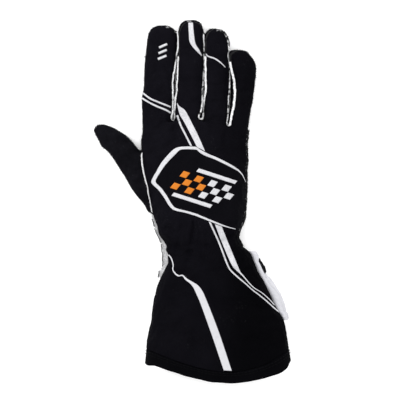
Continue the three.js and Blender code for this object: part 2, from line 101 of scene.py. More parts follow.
def curveThrough(points, step):
    # evenly spaced points on a smooth curve through a few given ones
    points = [Vector(p).to_3d() for p in points]
    dense = [curvePoint(points, i, k / 16) for i in range(len(points) - 1) for k in range(16)]
    dense.append(points[-1])
    lengths = [0.0]
    for a, b in zip(dense, dense[1:]):
        lengths.append(lengths[-1] + (b - a).length)
    count = max(2, round(lengths[-1] / step))
    out, k = [], 0
    for i in range(count + 1):
        want = lengths[-1] * i / count
        while k < len(lengths) - 2 and lengths[k + 1] < want:
            k += 1
        span = lengths[k + 1] - lengths[k] or 1e-9
        out.append(dense[k].lerp(dense[k + 1], (want - lengths[k]) / span))
    return out


def curvePair(left, right, step):
    # two smooth lines with as many points, so that a corner of one meets the other's
    left, right = [Vector(p).to_3d() for p in left], [Vector(p).to_3d() for p in right]
    pairs = []
    for i in range(len(left) - 1):
        reach = max((left[i + 1] - left[i]).length, (right[i + 1] - right[i]).length)
        count = max(1, round(reach / step))
        pairs += [(curvePoint(left, i, k / count), curvePoint(right, i, k / count)) for k in range(count)]
    return pairs + [(left[-1], right[-1])]


def wobble(seed, *place):
    # smooth noise from -1 to 1
    p = Vector((place + (0, 0, 0))[:3])
    return noise.noise(p + Vector((seed * 17.3, seed * 5.1, seed * 9.7)))


def link(obj):
    bpy.context.scene.collection.objects.link(obj)


def evenOut(bm, verts, factor):
    bmesh.ops.smooth_vert(bm, verts=verts, factor=factor, use_axis_x=True, use_axis_y=True,
                          use_axis_z=True)


def voxelMesh(obj, voxel):
    # the object's shape rebuilt in voxels; the object itself goes
    fuse = obj.modifiers.new("fuse", "REMESH")
    fuse.mode = "VOXEL"
    fuse.voxel_size = voxel
    depsgraph = bpy.context.evaluated_depsgraph_get()
    mesh = bpy.data.meshes.new_from_object(obj.evaluated_get(depsgraph))
    bpy.data.objects.remove(obj)
    return mesh


def thicken(obj, name, thickness, offset):
    wall = obj.modifiers.new(name, "SOLIDIFY")
    wall.thickness = thickness * mm
    wall.offset = offset


def newYarns():
    bm = bmesh.new()
    return bm, bm.verts.layers.float.new("white")


def meshObject(name, bm, shadeSmooth=True):
    # takes a shape in millimetres; nothing goes below the floor
    for v in bm.verts:
        v.co.z = max(0.0, v.co.z)
    bmesh.ops.scale(bm, vec=(mm, mm, mm), verts=bm.verts)
    mesh = bpy.data.meshes.new(name)
    bm.to_mesh(mesh)
    bm.free()
    if shadeSmooth:
        for polygon in mesh.polygons:
            polygon.use_smooth = True
    obj = bpy.data.objects.new(name, mesh)
    link(obj)
    return obj


def dress(obj, material, nodes=()):
    obj.data.materials.clear()
    obj.data.materials.append(material)
    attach(obj, "root")
    if nodes:
        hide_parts(*nodes)
    return obj


# ---- camera, floor and light

view = {"centre": (10.8, -25.2), "width": 374.4, "height": 2080.0, "plane": 14.0}
camera = bpy.data.cameras.new("camera")
camera.sensor_width = 36.0
camera.lens = 36.0 * view["height"] / view["width"]
camera.clip_start, camera.clip_end = 0.1, 20.0
cameraObject = bpy.data.objects.new("camera", camera)
cameraObject.location = (view["centre"][0] * mm, view["centre"][1] * mm,
                         (view["height"] + view["plane"]) * mm)
link(cameraObject)
bpy.context.scene.camera = cameraObject


def areaLight(name, place, target, size, power):
    light = bpy.data.lights.new(name, "AREA")
    light.shape = "DISK"
    light.size = size
    light.energy = power
    obj = bpy.data.objects.new(name, light)
    obj.location = place
    heading = Vector(target) - Vector(place)
    obj.rotation_euler = heading.to_track_quat("-Z", "Y").to_euler()
    link(obj)


areaLight("softbox_left", (-1.3, 0.7, 1.1), (0, 0, 0), 0.8, 17)
areaLight("softbox_right", (1.5, -0.4, 1.3), (0, 0, 0), 1.0, 6)
areaLight("softbox_top", (0.2, 1.6, 0.9), (0, 0, 0), 0.8, 8)

world = bpy.data.worlds.new("studio")
world.use_nodes = True
world.node_tree.nodes["Background"].inputs["Color"].default_value = (1, 1, 1, 1)
world.node_tree.nodes["Background"].inputs["Strength"].default_value = 1.1
bpy.context.scene.world = world
bpy.context.scene.view_settings.view_transform = "Standard"

floorMesh = bmesh.new()
bmesh.ops.create_circle(floorMesh, cap_ends=True, segments=96, radius=4000)
floor = meshObject("floor", floorMesh, False)
floorMaterial = bpy.data.materials.new("floor")
floorMaterial.use_nodes = True
floorShader = floorMaterial.node_tree.nodes["Principled BSDF"]
floorShader.inputs["Base Color"].default_value = (0.9, 0.9, 0.9, 1)
floorShader.inputs["Roughness"].default_value = 0.9
floorShader.inputs["Specular IOR Level"].default_value = 0.1
floorShader.inputs["Emission Color"].default_value = (1, 1, 1, 1)
floorShader.inputs["Emission Strength"].default_value = 0.3
floor.data.materials.append(floorMaterial)


# ---- cloth and thread: shared node groups

class Graph:
    # adds nodes to a material or a group and wires them
    def __init__(self, tree):
        self.tree = tree

    def add(self, kind, **settings):
        node = self.tree.nodes.new(kind)
        for key, value in settings.items():
            setattr(node, key, value)
        return node

    def feed(self, value, socket):
        if isinstance(value, bpy.types.NodeSocket):
            self.tree.links.new(value, socket)
        else:
            socket.default_value = value

    def math(self, operation, a, b=0.0, c=0.0, clamp=False):
        node = self.add("ShaderNodeMath", operation=operation, use_clamp=clamp)
        for value, socket in zip((a, b, c), node.inputs):
            self.feed(value, socket)
        return node.outputs[0]

    def noise(self, vector, scale, detail=3.0, rough=0.55):
        node = self.add("ShaderNodeTexNoise")
        self.feed(vector, node.inputs["Vector"])
        self.feed(scale, node.inputs["Scale"])
        node.inputs["Detail"].default_value = detail
        node.inputs["Roughness"].default_value = rough
        return node.outputs["Fac"]

    def spread(self, value, low, high, to=(0.0, 1.0)):
        node = self.add("ShaderNodeMapRange", interpolation_type="SMOOTHSTEP")
        self.feed(value, node.inputs["Value"])
        self.feed(low, node.inputs["From Min"])
        self.feed(high, node.inputs["From Max"])
        self.feed(to[0], node.inputs["To Min"])
        self.feed(to[1], node.inputs["To Max"])
        return node.outputs["Result"]

    def mix(self, share, a, b):
        node = self.add("ShaderNodeMix", data_type="RGBA")
        self.feed(share, node.inputs[0])
        self.feed(a, node.inputs[6])
        self.feed(b, node.inputs[7])
        return node.outputs[2]


def newGroup(name, inputs, outputs):
    tree = bpy.data.node_groups.new(name, "ShaderNodeTree")
    for label, kind, default in inputs:
        socket = tree.interface.new_socket(name=label, in_out="INPUT", socket_type=kind)
        if default is not None:
            socket.default_value = default
    for label, kind in outputs:
        tree.interface.new_socket(name=label, in_out="OUTPUT", socket_type=kind)
    graph = Graph(tree)
    graph.inlet = graph.add("NodeGroupInput").outputs
    graph.outlet = graph.add("NodeGroupOutput").inputs
    return tree, graph


def twillGroup():
    # fine diagonal weave: ribs at 45 degrees, broken by the crossing yarns
    tree, g = newGroup("twill_weave",
                       [("Vector", "NodeSocketVector", None), ("Yarn", "NodeSocketFloat", 0.8)],
                       [("Height", "NodeSocketFloat"), ("Tone", "NodeSocketFloat")])
    split = g.add("ShaderNodeSeparateXYZ")
    g.feed(g.inlet["Vector"], split.inputs[0])
    turns = g.math("DIVIDE", 2 * math.pi / mm, g.inlet["Yarn"])
    jitter = g.math("MULTIPLY", g.noise(g.inlet["Vector"], 900.0, 1.0), 1.6)
    u = g.math("ADD", g.math("MULTIPLY", split.outputs[0], turns), jitter)
    v = g.math("MULTIPLY", split.outputs[1], turns)
    rib = g.math("SINE", g.math("ADD", u, v))
    cross = g.math("SINE", g.math("SUBTRACT", g.math("MULTIPLY", u, 2.0), g.math("MULTIPLY", v, 2.0)))
    height = g.math("ADD", g.math("MULTIPLY", rib, 0.36), g.math("MULTIPLY", cross, 0.14))
    g.feed(g.math("ADD", height, 0.5, clamp=True), g.outlet["Height"])
    g.feed(g.noise(g.inlet["Vector"], 320.0, 2.0), g.outlet["Tone"])
    return tree


def napGroup():
    # suede nap: short brushed fibres in soft patches
    tree, g = newGroup("suede_nap", [("Vector", "NodeSocketVector", None)],
                       [("Height", "NodeSocketFloat"), ("Tone", "NodeSocketFloat")])
    fine = g.noise(g.inlet["Vector"], 2600.0, 2.0, 0.6)
    soft = g.noise(g.inlet["Vector"], 420.0, 3.0, 0.6)
    g.feed(g.math("ADD", g.math("MULTIPLY", fine, 0.6), g.math("MULTIPLY", soft, 0.4)),
           g.outlet["Height"])
    g.feed(g.noise(g.inlet["Vector"], 90.0, 4.0, 0.6), g.outlet["Tone"])
    return tree


def lintGroup():
    # specks of pale lint caught on dark cloth
    tree, g = newGroup("lint", [("Vector", "NodeSocketVector", None), ("Amount", "NodeSocketFloat", 0.3)],
                       [("Mask", "NodeSocketFloat")])
    specks = g.noise(g.inlet["Vector"], 1500.0, 1.0, 0.4)
    patches = g.noise(g.inlet["Vector"], 45.0, 2.0, 0.5)
    mask = g.math("MULTIPLY", g.spread(specks, 0.72, 0.8), g.spread(patches, 0.5, 0.7))
    g.feed(g.math("MULTIPLY", mask, g.inlet["Amount"]), g.outlet["Mask"])
    return tree


twill, nap, lint = twillGroup(), napGroup(), lintGroup()


def groupNode(g, tree, **inputs):
    node = g.add("ShaderNodeGroup")
    node.node_tree = tree
    for key, value in inputs.items():
        g.feed(value, node.inputs[key])
    return node.outputs


def newMaterial(name, rough, sheen=0.0, sheenRough=0.4, sheenTint=(1, 1, 1, 1), specular=0.3):
    material = bpy.data.materials.new(name)
    material.use_nodes = True
    g = Graph(material.node_tree)
    g.shader = material.node_tree.nodes["Principled BSDF"]
    g.shader.inputs["Roughness"].default_value = rough
    g.shader.inputs["Specular IOR Level"].default_value = specular
    g.shader.inputs["Sheen Weight"].default_value = sheen
    g.shader.inputs["Sheen Roughness"].default_value = sheenRough
    g.shader.inputs["Sheen Tint"].default_value = sheenTint
    return material, g


def bumpFrom(g, height, distance, strength=1.0):
    bump = g.add("ShaderNodeBump")
    g.feed(height, bump.inputs["Height"])
    bump.inputs["Distance"].default_value = distance
    bump.inputs["Strength"].default_value = strength
    g.feed(bump.outputs["Normal"], g.shader.inputs["Normal"])


def attribute(g, name):
    return g.add("ShaderNodeAttribute", attribute_name=name).outputs["Fac"]


def clothMaterial(name, dark, light, yarn, lintAmount=0.25, rough=0.85, deepen=0.0):
    material, g = newMaterial(name, rough, 0.004, 0.35, (0.7, 0.74, 0.9, 1), 0.014)
    surface = g.add("ShaderNodeUVMap", uv_map="cloth").outputs[0]
    place = g.add("ShaderNodeTexCoord").outputs["Object"]
    weave = groupNode(g, twill, Vector=surface, Yarn=yarn)
    tone = g.math("ADD", g.math("MULTIPLY", weave["Height"], 0.55),
                  g.math("MULTIPLY", g.noise(place, 60.0, 4.0), 0.45))
    colour = g.mix(g.spread(tone, 0.25, 0.8), dark, light)
    if deepen:
        # the colour is made darker towards the little finger's side and past the wrist
        split = g.add("ShaderNodeSeparateXYZ")
        g.feed(place, split.inputs[0])
        aside = g.spread(split.outputs[0], 0.005, 0.046, (0.0, 0.48))
        past = g.spread(split.outputs[1], -0.075, -0.025, (0.34, 0.0))
        share = g.math("MULTIPLY", g.math("ADD", aside, past), deepen, clamp=True)
        colour = g.mix(share, colour, (0.0006, 0.0006, 0.0008, 1))
    specks = groupNode(g, lint, Vector=place, Amount=lintAmount)
    colour = g.mix(specks["Mask"], colour, (0.16, 0.16, 0.17, 1))
    g.feed(colour, g.shader.inputs["Base Color"])
    bumpFrom(g, weave["Height"], 0.00012, 0.7)
    return material


def suedeMaterial(name, dark, light):
    material, g = newMaterial(name, 0.95, 0.006, 0.5, (0.72, 0.74, 0.9, 1), 0.014)
    place = g.add("ShaderNodeTexCoord").outputs["Object"]
    fur = groupNode(g, nap, Vector=place)
    colour = g.mix(g.spread(g.math("ADD", g.math("MULTIPLY", fur["Tone"], 0.6),
                                   g.math("MULTIPLY", fur["Height"], 0.4)), 0.3, 0.7), dark, light)
    specks = groupNode(g, lint, Vector=place, Amount=0.25)
    g.feed(g.mix(specks["Mask"], colour, (0.14, 0.14, 0.15, 1)), g.shader.inputs["Base Color"])
    bumpFrom(g, fur["Height"], 0.00018, 0.6)
    return material


def rawEdgeMaterial(name, thread, shade, under):
    # pale cut yarns over the dark cloth of the seam allowance
    material, g = newMaterial(name, 0.9, 0.2, 0.5, (1, 1, 1, 1), 0.2)
    place = g.add("ShaderNodeTexCoord").outputs["Object"]
    tufts = g.noise(place, 1300.0, 3.0, 0.65)
    threads = g.mix(g.spread(tufts, 0.35, 0.62), shade, thread)
    white = g.math("ADD", attribute(g, "white"), g.math("MULTIPLY", g.math("SUBTRACT", tufts, 0.5), 0.9))
    g.feed(g.mix(g.spread(white, 0.4, 0.6), under, threads), g.shader.inputs["Base Color"])
    bumpFrom(g, tufts, 0.0003, 0.8)
    return material


def printMaterial(name, base, shade):
    # rubbery print with the twill's diagonal showing through
    material, g = newMaterial(name, 0.6, 0.0, specular=0.15)
    surface = g.add("ShaderNodeUVMap", uv_map="cloth").outputs[0]
    place = g.add("ShaderNodeTexCoord").outputs["Object"]
    weave = groupNode(g, twill, Vector=surface, Yarn=1.7)
    tone = g.math("ADD", g.math("MULTIPLY", weave["Height"], 0.65),
                  g.math("MULTIPLY", g.noise(place, 260.0, 3.0), 0.35))
    g.feed(g.mix(g.spread(tone, 0.28, 0.6), shade, base), g.shader.inputs["Base Color"])
    bumpFrom(g, weave["Height"], 0.00006, 0.6)
    return material


def threadMaterial(name, colour, shade, sheen=0.1, specular=0.3):
    material, g = newMaterial(name, 0.7, sheen, 0.4, (1, 1, 1, 1), specular)
    place = g.add("ShaderNodeTexCoord").outputs["Object"]
    g.feed(g.mix(g.noise(place, 3000.0, 2.0), shade, colour), g.shader.inputs["Base Color"])
    bumpFrom(g, g.noise(place, 4000.0, 2.0), 0.0001, 0.5)
    return material


knitCloth = clothMaterial("back_knit", (0.002, 0.0018, 0.0029, 1), (0.0062, 0.0058, 0.0084, 1), 0.8,
                          deepen=1.0)
cuffCloth = clothMaterial("cuff_cloth", (0.0013, 0.0012, 0.0019, 1), (0.0042, 0.004, 0.0058, 1), 0.8)
hemCloth = clothMaterial("hem_cloth", (0.0008, 0.0008, 0.0011, 1), (0.0025, 0.0024, 0.0034, 1), 0.9, 0.12)
panelCloth = clothMaterial("panel_cloth", (0.0018, 0.0017, 0.0025, 1), (0.0042, 0.004, 0.0056, 1), 0.6,
                           0.1, 0.75)
palmSuede = suedeMaterial("palm_suede", (0.0018, 0.0017, 0.0024, 1), (0.0056, 0.0054, 0.0072, 1))
rawEdge = rawEdgeMaterial("raw_edge", (0.86, 0.86, 0.87, 1), (0.5, 0.5, 0.51, 1), (0.002, 0.002, 0.003, 1))
whitePrint = printMaterial("white_print", (0.56, 0.56, 0.575, 1), (0.41, 0.41, 0.44, 1))
orangePrint = printMaterial("orange_print", (0.56, 0.17, 0.014, 1), (0.45, 0.13, 0.01, 1))
labelSatin = printMaterial("label_satin", (0.56, 0.56, 0.585, 1), (0.47, 0.47, 0.51, 1))
darkThread = threadMaterial("dark_thread", (0.004, 0.004, 0.005, 1), (0.0015, 0.0015, 0.002, 1), 0.01, 0.05)
greyThread = threadMaterial("grey_thread", (0.03, 0.03, 0.032, 1), (0.008, 0.008, 0.009, 1), 0.03, 0.1)
# grey cord of painted shadow along the edge of the label's upper ply
rimShadowCord = threadMaterial("rim_painted_shadow", (0.3, 0.3, 0.32, 1), (0.2, 0.2, 0.22, 1), 0.02, 0.1)
paleThread = threadMaterial("pale_thread", (0.7, 0.7, 0.71, 1), (0.45, 0.45, 0.46, 1))
print("materials made")


# ---- the glove's skin: rings of points, fused and folded

hand = {
    "width": 93.8, "height": 30.0, "knuckleHeight": 18.5, "length": 106.0, "centre": -1.7,
    "knuckleArch": 11.4, "knuckleSlant": -0.05, "wristY": -52.0, "wristWidth": 69.2,
    "wristHeight": 31.0, "wristCentre": 4.1, "roundness": 2.3, "press": 2.5, "sides": 96,
    # shares of the length, and of the way from the wrist to the hand
    "table": tableOf(("along", "width", "centre", "height", "drop"), [
        (0.0, 0.0, 0.0, 0.0, 0.0),
        (0.06, 0.15, 0.19, 0.0, 0.0),
        (0.16, 0.45, 0.28, 0.0, 0.0),
        (0.26, 0.64, 0.42, 0.5, 0.0),
        (0.36, 0.70, 0.47, 1.0, 0.0),
        (0.49, 0.83, 0.63, 1.0, 0.0),
        (0.62, 0.92, 0.86, 1.0, 0.12),
        (0.75, 1.0, 1.0, 1.0, 0.39),
        (0.88, 0.98, 0.93, 1.0, 0.66),
        (0.95, 0.95, 0.9, 1.0, 0.87),
        (1.0, 0.9, 0.9, 1.0, 1.0),
    ]),
}

cuff = {
    "length": 111.0, "width": 130.2, "height": 46.0, "lean": 15.4, "bow": 19.0, "bowLean": 0.36,
    "hem": 12.0, "seam": 19.0,
    # shares of the length, and of the way from the wrist to the mouth
    "table": tableOf(("along", "width", "centre", "height"), [
        (0.0, 0.0, 0.0, 0.0),
        (0.06, -0.01, 0.22, 0.01),
        (0.12, 0.08, 0.5, 0.05),
        (0.19, 0.125, 0.65, 0.12),
        (0.26, 0.241, 0.624, 0.2),
        (0.34, 0.398, 0.646, 0.3),
        (0.44, 0.528, 0.697, 0.42),
        (0.54, 0.644, 0.76, 0.55),
        (0.68, 0.82, 1.0, 0.72),
        (0.82, 0.92, 1.0, 0.88),
        (1.0, 1.0, 1.0, 1.0),
    ]),
}

fingers = {
    "index": {"root": -35.3, "tip": -30.3, "end": 139.0, "width": 26.2, "height": 18.0, "sway": 0.0,
              "waist": -0.02},
    "middle": {"root": -6.7, "tip": -4.7, "end": 144.5, "width": 23.4, "height": 18.0, "sway": 0.0,
               "waist": 0.03},
    "ring": {"root": 17.2, "tip": 17.6, "end": 136.8, "width": 21.2, "height": 17.0, "sway": 1.2,
             "waist": 0.03},
    "little": {"root": 36.4, "tip": 40.4, "end": 117.4, "width": 21.2, "height": 16.0, "sway": 3.6,
               "waist": 0.22},
}
fingerRoot = 30.0
fingerTable = tableOf(("along", "width", "height"), [
    (0.0, 0.8, 0.9),
    (0.2, 1.0, 1.0),
    (0.4, 1.0, 1.0),
    (0.6, 0.99, 0.97),
    (0.78, 1.0, 0.93),
    (0.88, 1.0, 0.88),
    (0.94, 0.93, 0.82),
    (0.98, 0.72, 0.7),
    (1.0, 0.38, 0.5),
])

thumb = {
    "root": (-27.0, -22.0), "length": 69.5, "spread": 63.5, "width": 25.0, "height": 19.0,
    "table": tableOf(("ahead", "aside", "width", "height"), [
        (0.0, 0.0, 0.88, 0.9),
        (0.151, 0.15, 1.16, 1.0),
        (0.294, 0.299, 1.12, 1.0),
        (0.518, 0.466, 1.0, 0.97),
        (0.652, 0.567, 0.98, 0.93),
        (0.777, 0.679, 0.88, 0.87),
        (0.849, 0.772, 0.78, 0.81),
        (0.906, 0.843, 0.68, 0.74),
        (0.967, 0.937, 0.5, 0.62),
        (1.0, 1.0, 0.24, 0.42),
    ]),
}

seamHeights = {"finger": 8.0, "knuckle": 9.5, "palm": 11.0, "wrist": 13.0}


def seamHeight(y):
    # height of the side seam along the glove
    rows = [(hand["wristY"] - cuff["length"], cuff["seam"]), (hand["wristY"], seamHeights["wrist"]),
            (0.0, seamHeights["palm"]), (fingerRoot, seamHeights["knuckle"]),
            (fingerRoot + hand["knuckleArch"] + 10, seamHeights["finger"])]
    if y <= rows[0][0]:
        return rows[0][1]
    for (y0, z0), (y1, z1) in zip(rows, rows[1:]):
        if y <= y1:
            return lerp(z0, z1, (y - y0) / (y1 - y0))
    return rows[-1][1]


# the hem band as a share of the cuff's length, and the place where it starts
hemShare = cuff["hem"] / cuff["length"]
hemStart = 1 - hemShare


def cuffBow(along):
    return -cuff["bow"] * min(1.0, along / hemStart) ** 2


def cuffSection(along):
    share = min(1.0, max(0.0, along))
    across = alongTable(cuff["table"], "width", share)
    centre = alongTable(cuff["table"], "centre", share)
    rise = alongTable(cuff["table"], "height", share)
    return {
        "x": hand["wristCentre"] + cuff["lean"] * centre,
        "y": hand["wristY"] - cuff["length"] * along,
        "width": lerp(hand["wristWidth"], cuff["width"], across),
        "top": lerp(hand["wristHeight"], cuff["height"], rise),
        "seam": lerp(seamHeights["wrist"], cuff["seam"], share),
        "bow": cuffBow(along), "bowLean": cuff["bowLean"],
    }


def handSection(along):
    ahead = smooth((along - 0.5) / 0.5)
    across = alongTable(hand["table"], "width", along)
    centre = alongTable(hand["table"], "centre", along)
    rise = alongTable(hand["table"], "height", along)
    drop = alongTable(hand["table"], "drop", along)
    top = lerp(hand["wristHeight"], hand["height"], rise)
    seam = lerp(seamHeights["wrist"], seamHeights["palm"], min(1, 2 * along))
    return {
        "x": lerp(hand["wristCentre"], hand["centre"], centre),
        "y": hand["wristY"] + hand["length"] * along - hand["knuckleArch"] * ahead,
        "width": lerp(hand["wristWidth"], hand["width"], across),
        "top": lerp(top, hand["knuckleHeight"], drop),
        "seam": lerp(seam, seamHeights["knuckle"], min(1, along / 0.95) ** 2),
        "bow": hand["knuckleArch"] * ahead, "bowLean": 0.0,
        "skew": hand["knuckleSlant"] * ahead,
    }


def addRing(bm, section, sides):
    # one cross-section: round on top, widest at the seam and pressed flat on the floor
    verts = bmesh.ops.create_circle(bm, segments=sides, radius=1.0)["verts"]
    across = section.get("across", Vector((1, 0)))
    power = 2 / hand["roundness"]
    for v in verts:
        side = math.copysign(abs(v.co.x) ** power, v.co.x)
        lift = abs(v.co.y) ** power
        reach = side * section["width"] / 2
        up = v.co.y > 0
        seam, top = section["seam"], section["top"]
        z = seam + lift * (top - seam) if up else seam - lift * (seam + hand["press"])
        bow = section.get("bow", 0) * (1 - side * side) * (1 + section.get("bowLean", 0) * side)
        v.co = Vector((section["x"] + reach * across.x,
                       section["y"] + reach * across.y + bow + section.get("skew", 0) * reach,
                       max(0.0, z)))
    return list(dict.fromkeys(e for v in verts for e in v.link_edges))


def addTube(bm, sections, sides):
    rings = [addRing(bm, section, sides) for section in sections]
    for a, b in zip(rings, rings[1:]):
        bmesh.ops.bridge_loops(bm, edges=a + b)
    bmesh.ops.contextual_create(bm, geom=rings[0])
    bmesh.ops.contextual_create(bm, geom=rings[-1])


def fingerX(finger, along):
    out = max(0.0, along - 0.2) / 0.8
    return lerp(finger["root"], finger["tip"], out) + finger["sway"] * math.sin(math.pi * out)


def fingerSection(finger, along):
    waist = 1 - finger["waist"] * math.sin(math.pi * min(1, along / 0.8))
    rise = (alongTable(fingerTable, "height", along) - 0.4) / 0.6
    return {
        "x": fingerX(finger, along), "y": lerp(fingerRoot, finger["end"], along),
        "width": finger["width"] * waist * alongTable(fingerTable, "width", along),
        "top": lerp(seamHeights["finger"], finger["height"], rise), "seam": seamHeights["finger"],
    }


def thumbSections(count):
    table = thumb["table"]
    rows = [dict(row, along=i / (len(table) - 1)) for i, row in enumerate(table)]
    places = []
    for i in range(count + 1):
        t = i / count
        ahead = thumb["root"][1] + thumb["length"] * alongTable(rows, "ahead", t)
        aside = thumb["root"][0] - thumb["spread"] * alongTable(rows, "aside", t)
        places.append(Vector((aside, ahead)))
    sections = []
    for i in range(count + 1):
        heading = (places[min(count, i + 1)] - places[max(0, i - 1)]).normalized()
        rise = (alongTable(rows, "height", i / count) - 0.3) / 0.7
        sections.append({
            "x": places[i].x, "y": places[i].y, "across": Vector((heading.y, -heading.x)),
            "width": thumb["width"] * alongTable(rows, "width", i / count),
            "top": lerp(seamHeights["finger"], thumb["height"], rise), "seam": seamHeights["finger"],
        })
    return sections


def fusedSkin(voxel):
    bm = bmesh.new()
    sections = [cuffSection(1 - hemShare * 0.3 - i * (1 - hemShare * 0.3) / 44) for i in range(44)]
    sections += [handSection(i / 40) for i in range(41)]
    addTube(bm, sections, hand["sides"])
    for finger in fingers.values():
        addTube(bm, [fingerSection(finger, 1 - (1 - i / 40) ** 1.3) for i in range(41)], 48)
    addTube(bm, thumbSections(40), 48)
    bmesh.ops.recalc_face_normals(bm, faces=bm.faces)
    mesh = bpy.data.meshes.new("skin")
    bm.to_mesh(mesh)
    bm.free()
    obj = bpy.data.objects.new("skin", mesh)
    link(obj)
    skin = bmesh.new()
    skin.from_mesh(voxelMesh(obj, voxel))
    for _ in range(3):
        evenOut(skin, skin.verts, 0.5)
    return skin


# Where the cloth bulges or is drawn in, in plan: place, how far it moves, and the reach in x and y
pulls = [
    ((28.5, 122.0), (1.9, 0.0), (5.0, 8.0)),
    ((33.0, 114.0), (-2.6, 1.4), (4.0, 4.5)),
    ((50.5, 113.5), (-1.0, -1.3), (5.0, 5.0)),
    ((53.0, 98.0), (2.0, 0.0), (8.0, 14.0)),
    ((49.5, 72.0), (1.7, 0.0), (8.0, 14.0)),
    ((46.0, 48.0), (1.9, 0.0), (8.0, 12.0)),
    ((46.0, 20.0), (0.6, 0.0), (8.0, 14.0)),
    ((-45.5, 106.0), (-0.7, 0.0), (8.0, 12.0)),
    ((-47.0, 86.0), (-0.8, 0.0), (8.0, 12.0)),
    ((-47.3, 69.0), (-1.1, 0.0), (8.0, 8.0)),
    ((-49.0, 75.0), (-0.7, 0.0), (6.0, 5.0)),
    ((-47.3, 35.3), (-1.9, 0.0), (8.0, 8.0)),
    ((-31.0, 139.0), (0.0, 0.7), (12.0, 4.0)),
    ((38.5, -52.0), (-1.5, 0.0), (8.0, 9.0)),
    ((-43.0, -26.0), (-0.6, -5.2), (4.5, 5.0)),
    ((-84.0, 32.0), (-1.5, -0.6), (7.0, 7.0)),
    ((-91.0, 44.0), (-0.7, 0.3), (4.0, 4.0)),
    ((-33.0, -50.5), (-1.7, 0.0), (7.0, 6.0)),
    ((-28.0, -70.0), (-1.3, 0.0), (7.0, 8.0)),
    ((-43.0, -146.0), (-0.8, 0.0), (10.0, 12.0)),
]


def pullSkin(bm):
    for v in bm.verts:
        x, y = v.co.x, v.co.y
        for at, by, reach in pulls:
            across, ahead = (x - at[0]) / reach[0], (y - at[1]) / reach[1]
            if abs(across) < 2.4 and abs(ahead) < 2.4:
                share = math.exp(-across * across - ahead * ahead)
                v.co.x += by[0] * share
                v.co.y += by[1] * share


skin = fusedSkin(1.0)
pullSkin(skin)
print("skin fused:", len(skin.verts), "points")

# ---- wrinkles: cloth a little too large for the shape it is held in buckles between its seams

wrinkles = {"cage": 3.4, "slack": 0.02, "wristSlack": 0.11, "pressure": 1.2, "frames": 20, "cap": 2.2,
            "calm": 12}


clothSettings = {
    "quality": 5, "mass": 0.15, "tension_stiffness": 15, "compression_stiffness": 15,
    "shear_stiffness": 5, "bending_stiffness": 0.05, "air_damping": 2, "vertex_group_mass": "held",
    "pin_stiffness": 1.0, "vertex_group_shrink": "slack", "shrink_min": -wrinkles["slack"],
    "shrink_max": -wrinkles["wristSlack"], "use_pressure": True,
    "uniform_pressure_force": wrinkles["pressure"],
}


def wrinkleCage(bm):
    # a coarse copy of the skin, as an object to simulate
    mesh = voxelMesh(meshObject("wrinkle_source", bm.copy()), wrinkles["cage"] * mm)
    cage = bpy.data.objects.new("wrinkle_cage", mesh)
    link(cage)
    return cage


def simulateWrinkles(bm):
    # gives the rest places, faces and shifts of the coarse copy
    cage = wrinkleCage(bm)
    held = cage.vertex_groups.new(name="held")
    slack = cage.vertex_groups.new(name="slack")
    for v in cage.data.vertices:
        x, y, z = v.co / mm
        sides = 1 - smooth((abs(v.normal.z) - 0.15) / 0.4)
        onFloor = 1 - smooth((z - 0.5) / 2)
        ends = max(smooth((-146 - y) / 8), smooth((y - 100) / 30) * 0.6)
        underPanel = 0.75 * math.exp(-((x - 2) / 38) ** 2 - ((y + 8) / 26) ** 2)
        held.add([v.index], max(sides, onFloor, ends, underPanel), "REPLACE")
        slack.add([v.index], math.exp(-((y + 62) / 26) ** 2), "REPLACE")
    cloth = cage.modifiers.new("cloth", "CLOTH")
    for key, value in clothSettings.items():
        setattr(cloth.settings, key, value)
    cloth.settings.effector_weights.gravity = 0
    cloth.collision_settings.use_collision = False
    cloth.point_cache.frame_start, cloth.point_cache.frame_end = 1, wrinkles["frames"]
    rest = np.array([v.co[:] for v in cage.data.vertices]) / mm
    faces = [tuple(p.vertices) for p in cage.data.polygons]
    edges = np.array([e.vertices[:] for e in cage.data.edges])
    for number in range(1, wrinkles["frames"] + 1):
        bpy.context.scene.frame_set(number)
    shaped = cage.evaluated_get(bpy.context.evaluated_depsgraph_get()).data
    shift = np.array([v.co[:] for v in shaped.vertices]) / mm - rest
    bpy.context.scene.frame_set(1)
    bpy.data.objects.remove(cage)
    # only the wrinkles are kept: the slow swelling is taken off
    swelling = shift.copy()
    ends = np.zeros(len(rest))
    np.add.at(ends, edges.ravel(), 1)
    for _ in range(wrinkles["calm"]):
        total = np.zeros_like(swelling)
        np.add.at(total, edges[:, 0], swelling[edges[:, 1]])
        np.add.at(total, edges[:, 1], swelling[edges[:, 0]])
        swelling = total / np.maximum(ends, 1)[:, None]
    shift = shift - swelling
    length = np.linalg.norm(shift, axis=1)
    print("wrinkles: mean %.2f, largest %.2f mm" % (length.mean(), length.max()))
    return rest, faces, shift * np.minimum(1, wrinkles["cap"] / np.maximum(length, 1e-6))[:, None]


def wrinkleSkin(bm):
    rest, faces, shift = simulateWrinkles(bm)
    tree = BVHTree.FromPolygons([Vector(p) for p in rest], faces)
    for v in bm.verts:
        _, _, index, _ = tree.find_nearest(v.co)
        corners = faces[index]
        near = [1 / (0.2 + (Vector(rest[c]) - v.co).length_squared) for c in corners]
        move = sum((Vector(shift[c]) * w for c, w in zip(corners, near)), Vector()) / sum(near)
        v.co += move
        v.co.z = max(0.0, v.co.z)
    evenOut(bm, bm.verts, 0.5)
    bm.normal_update()


wrinkleSkin(skin)
print("wrinkles made")

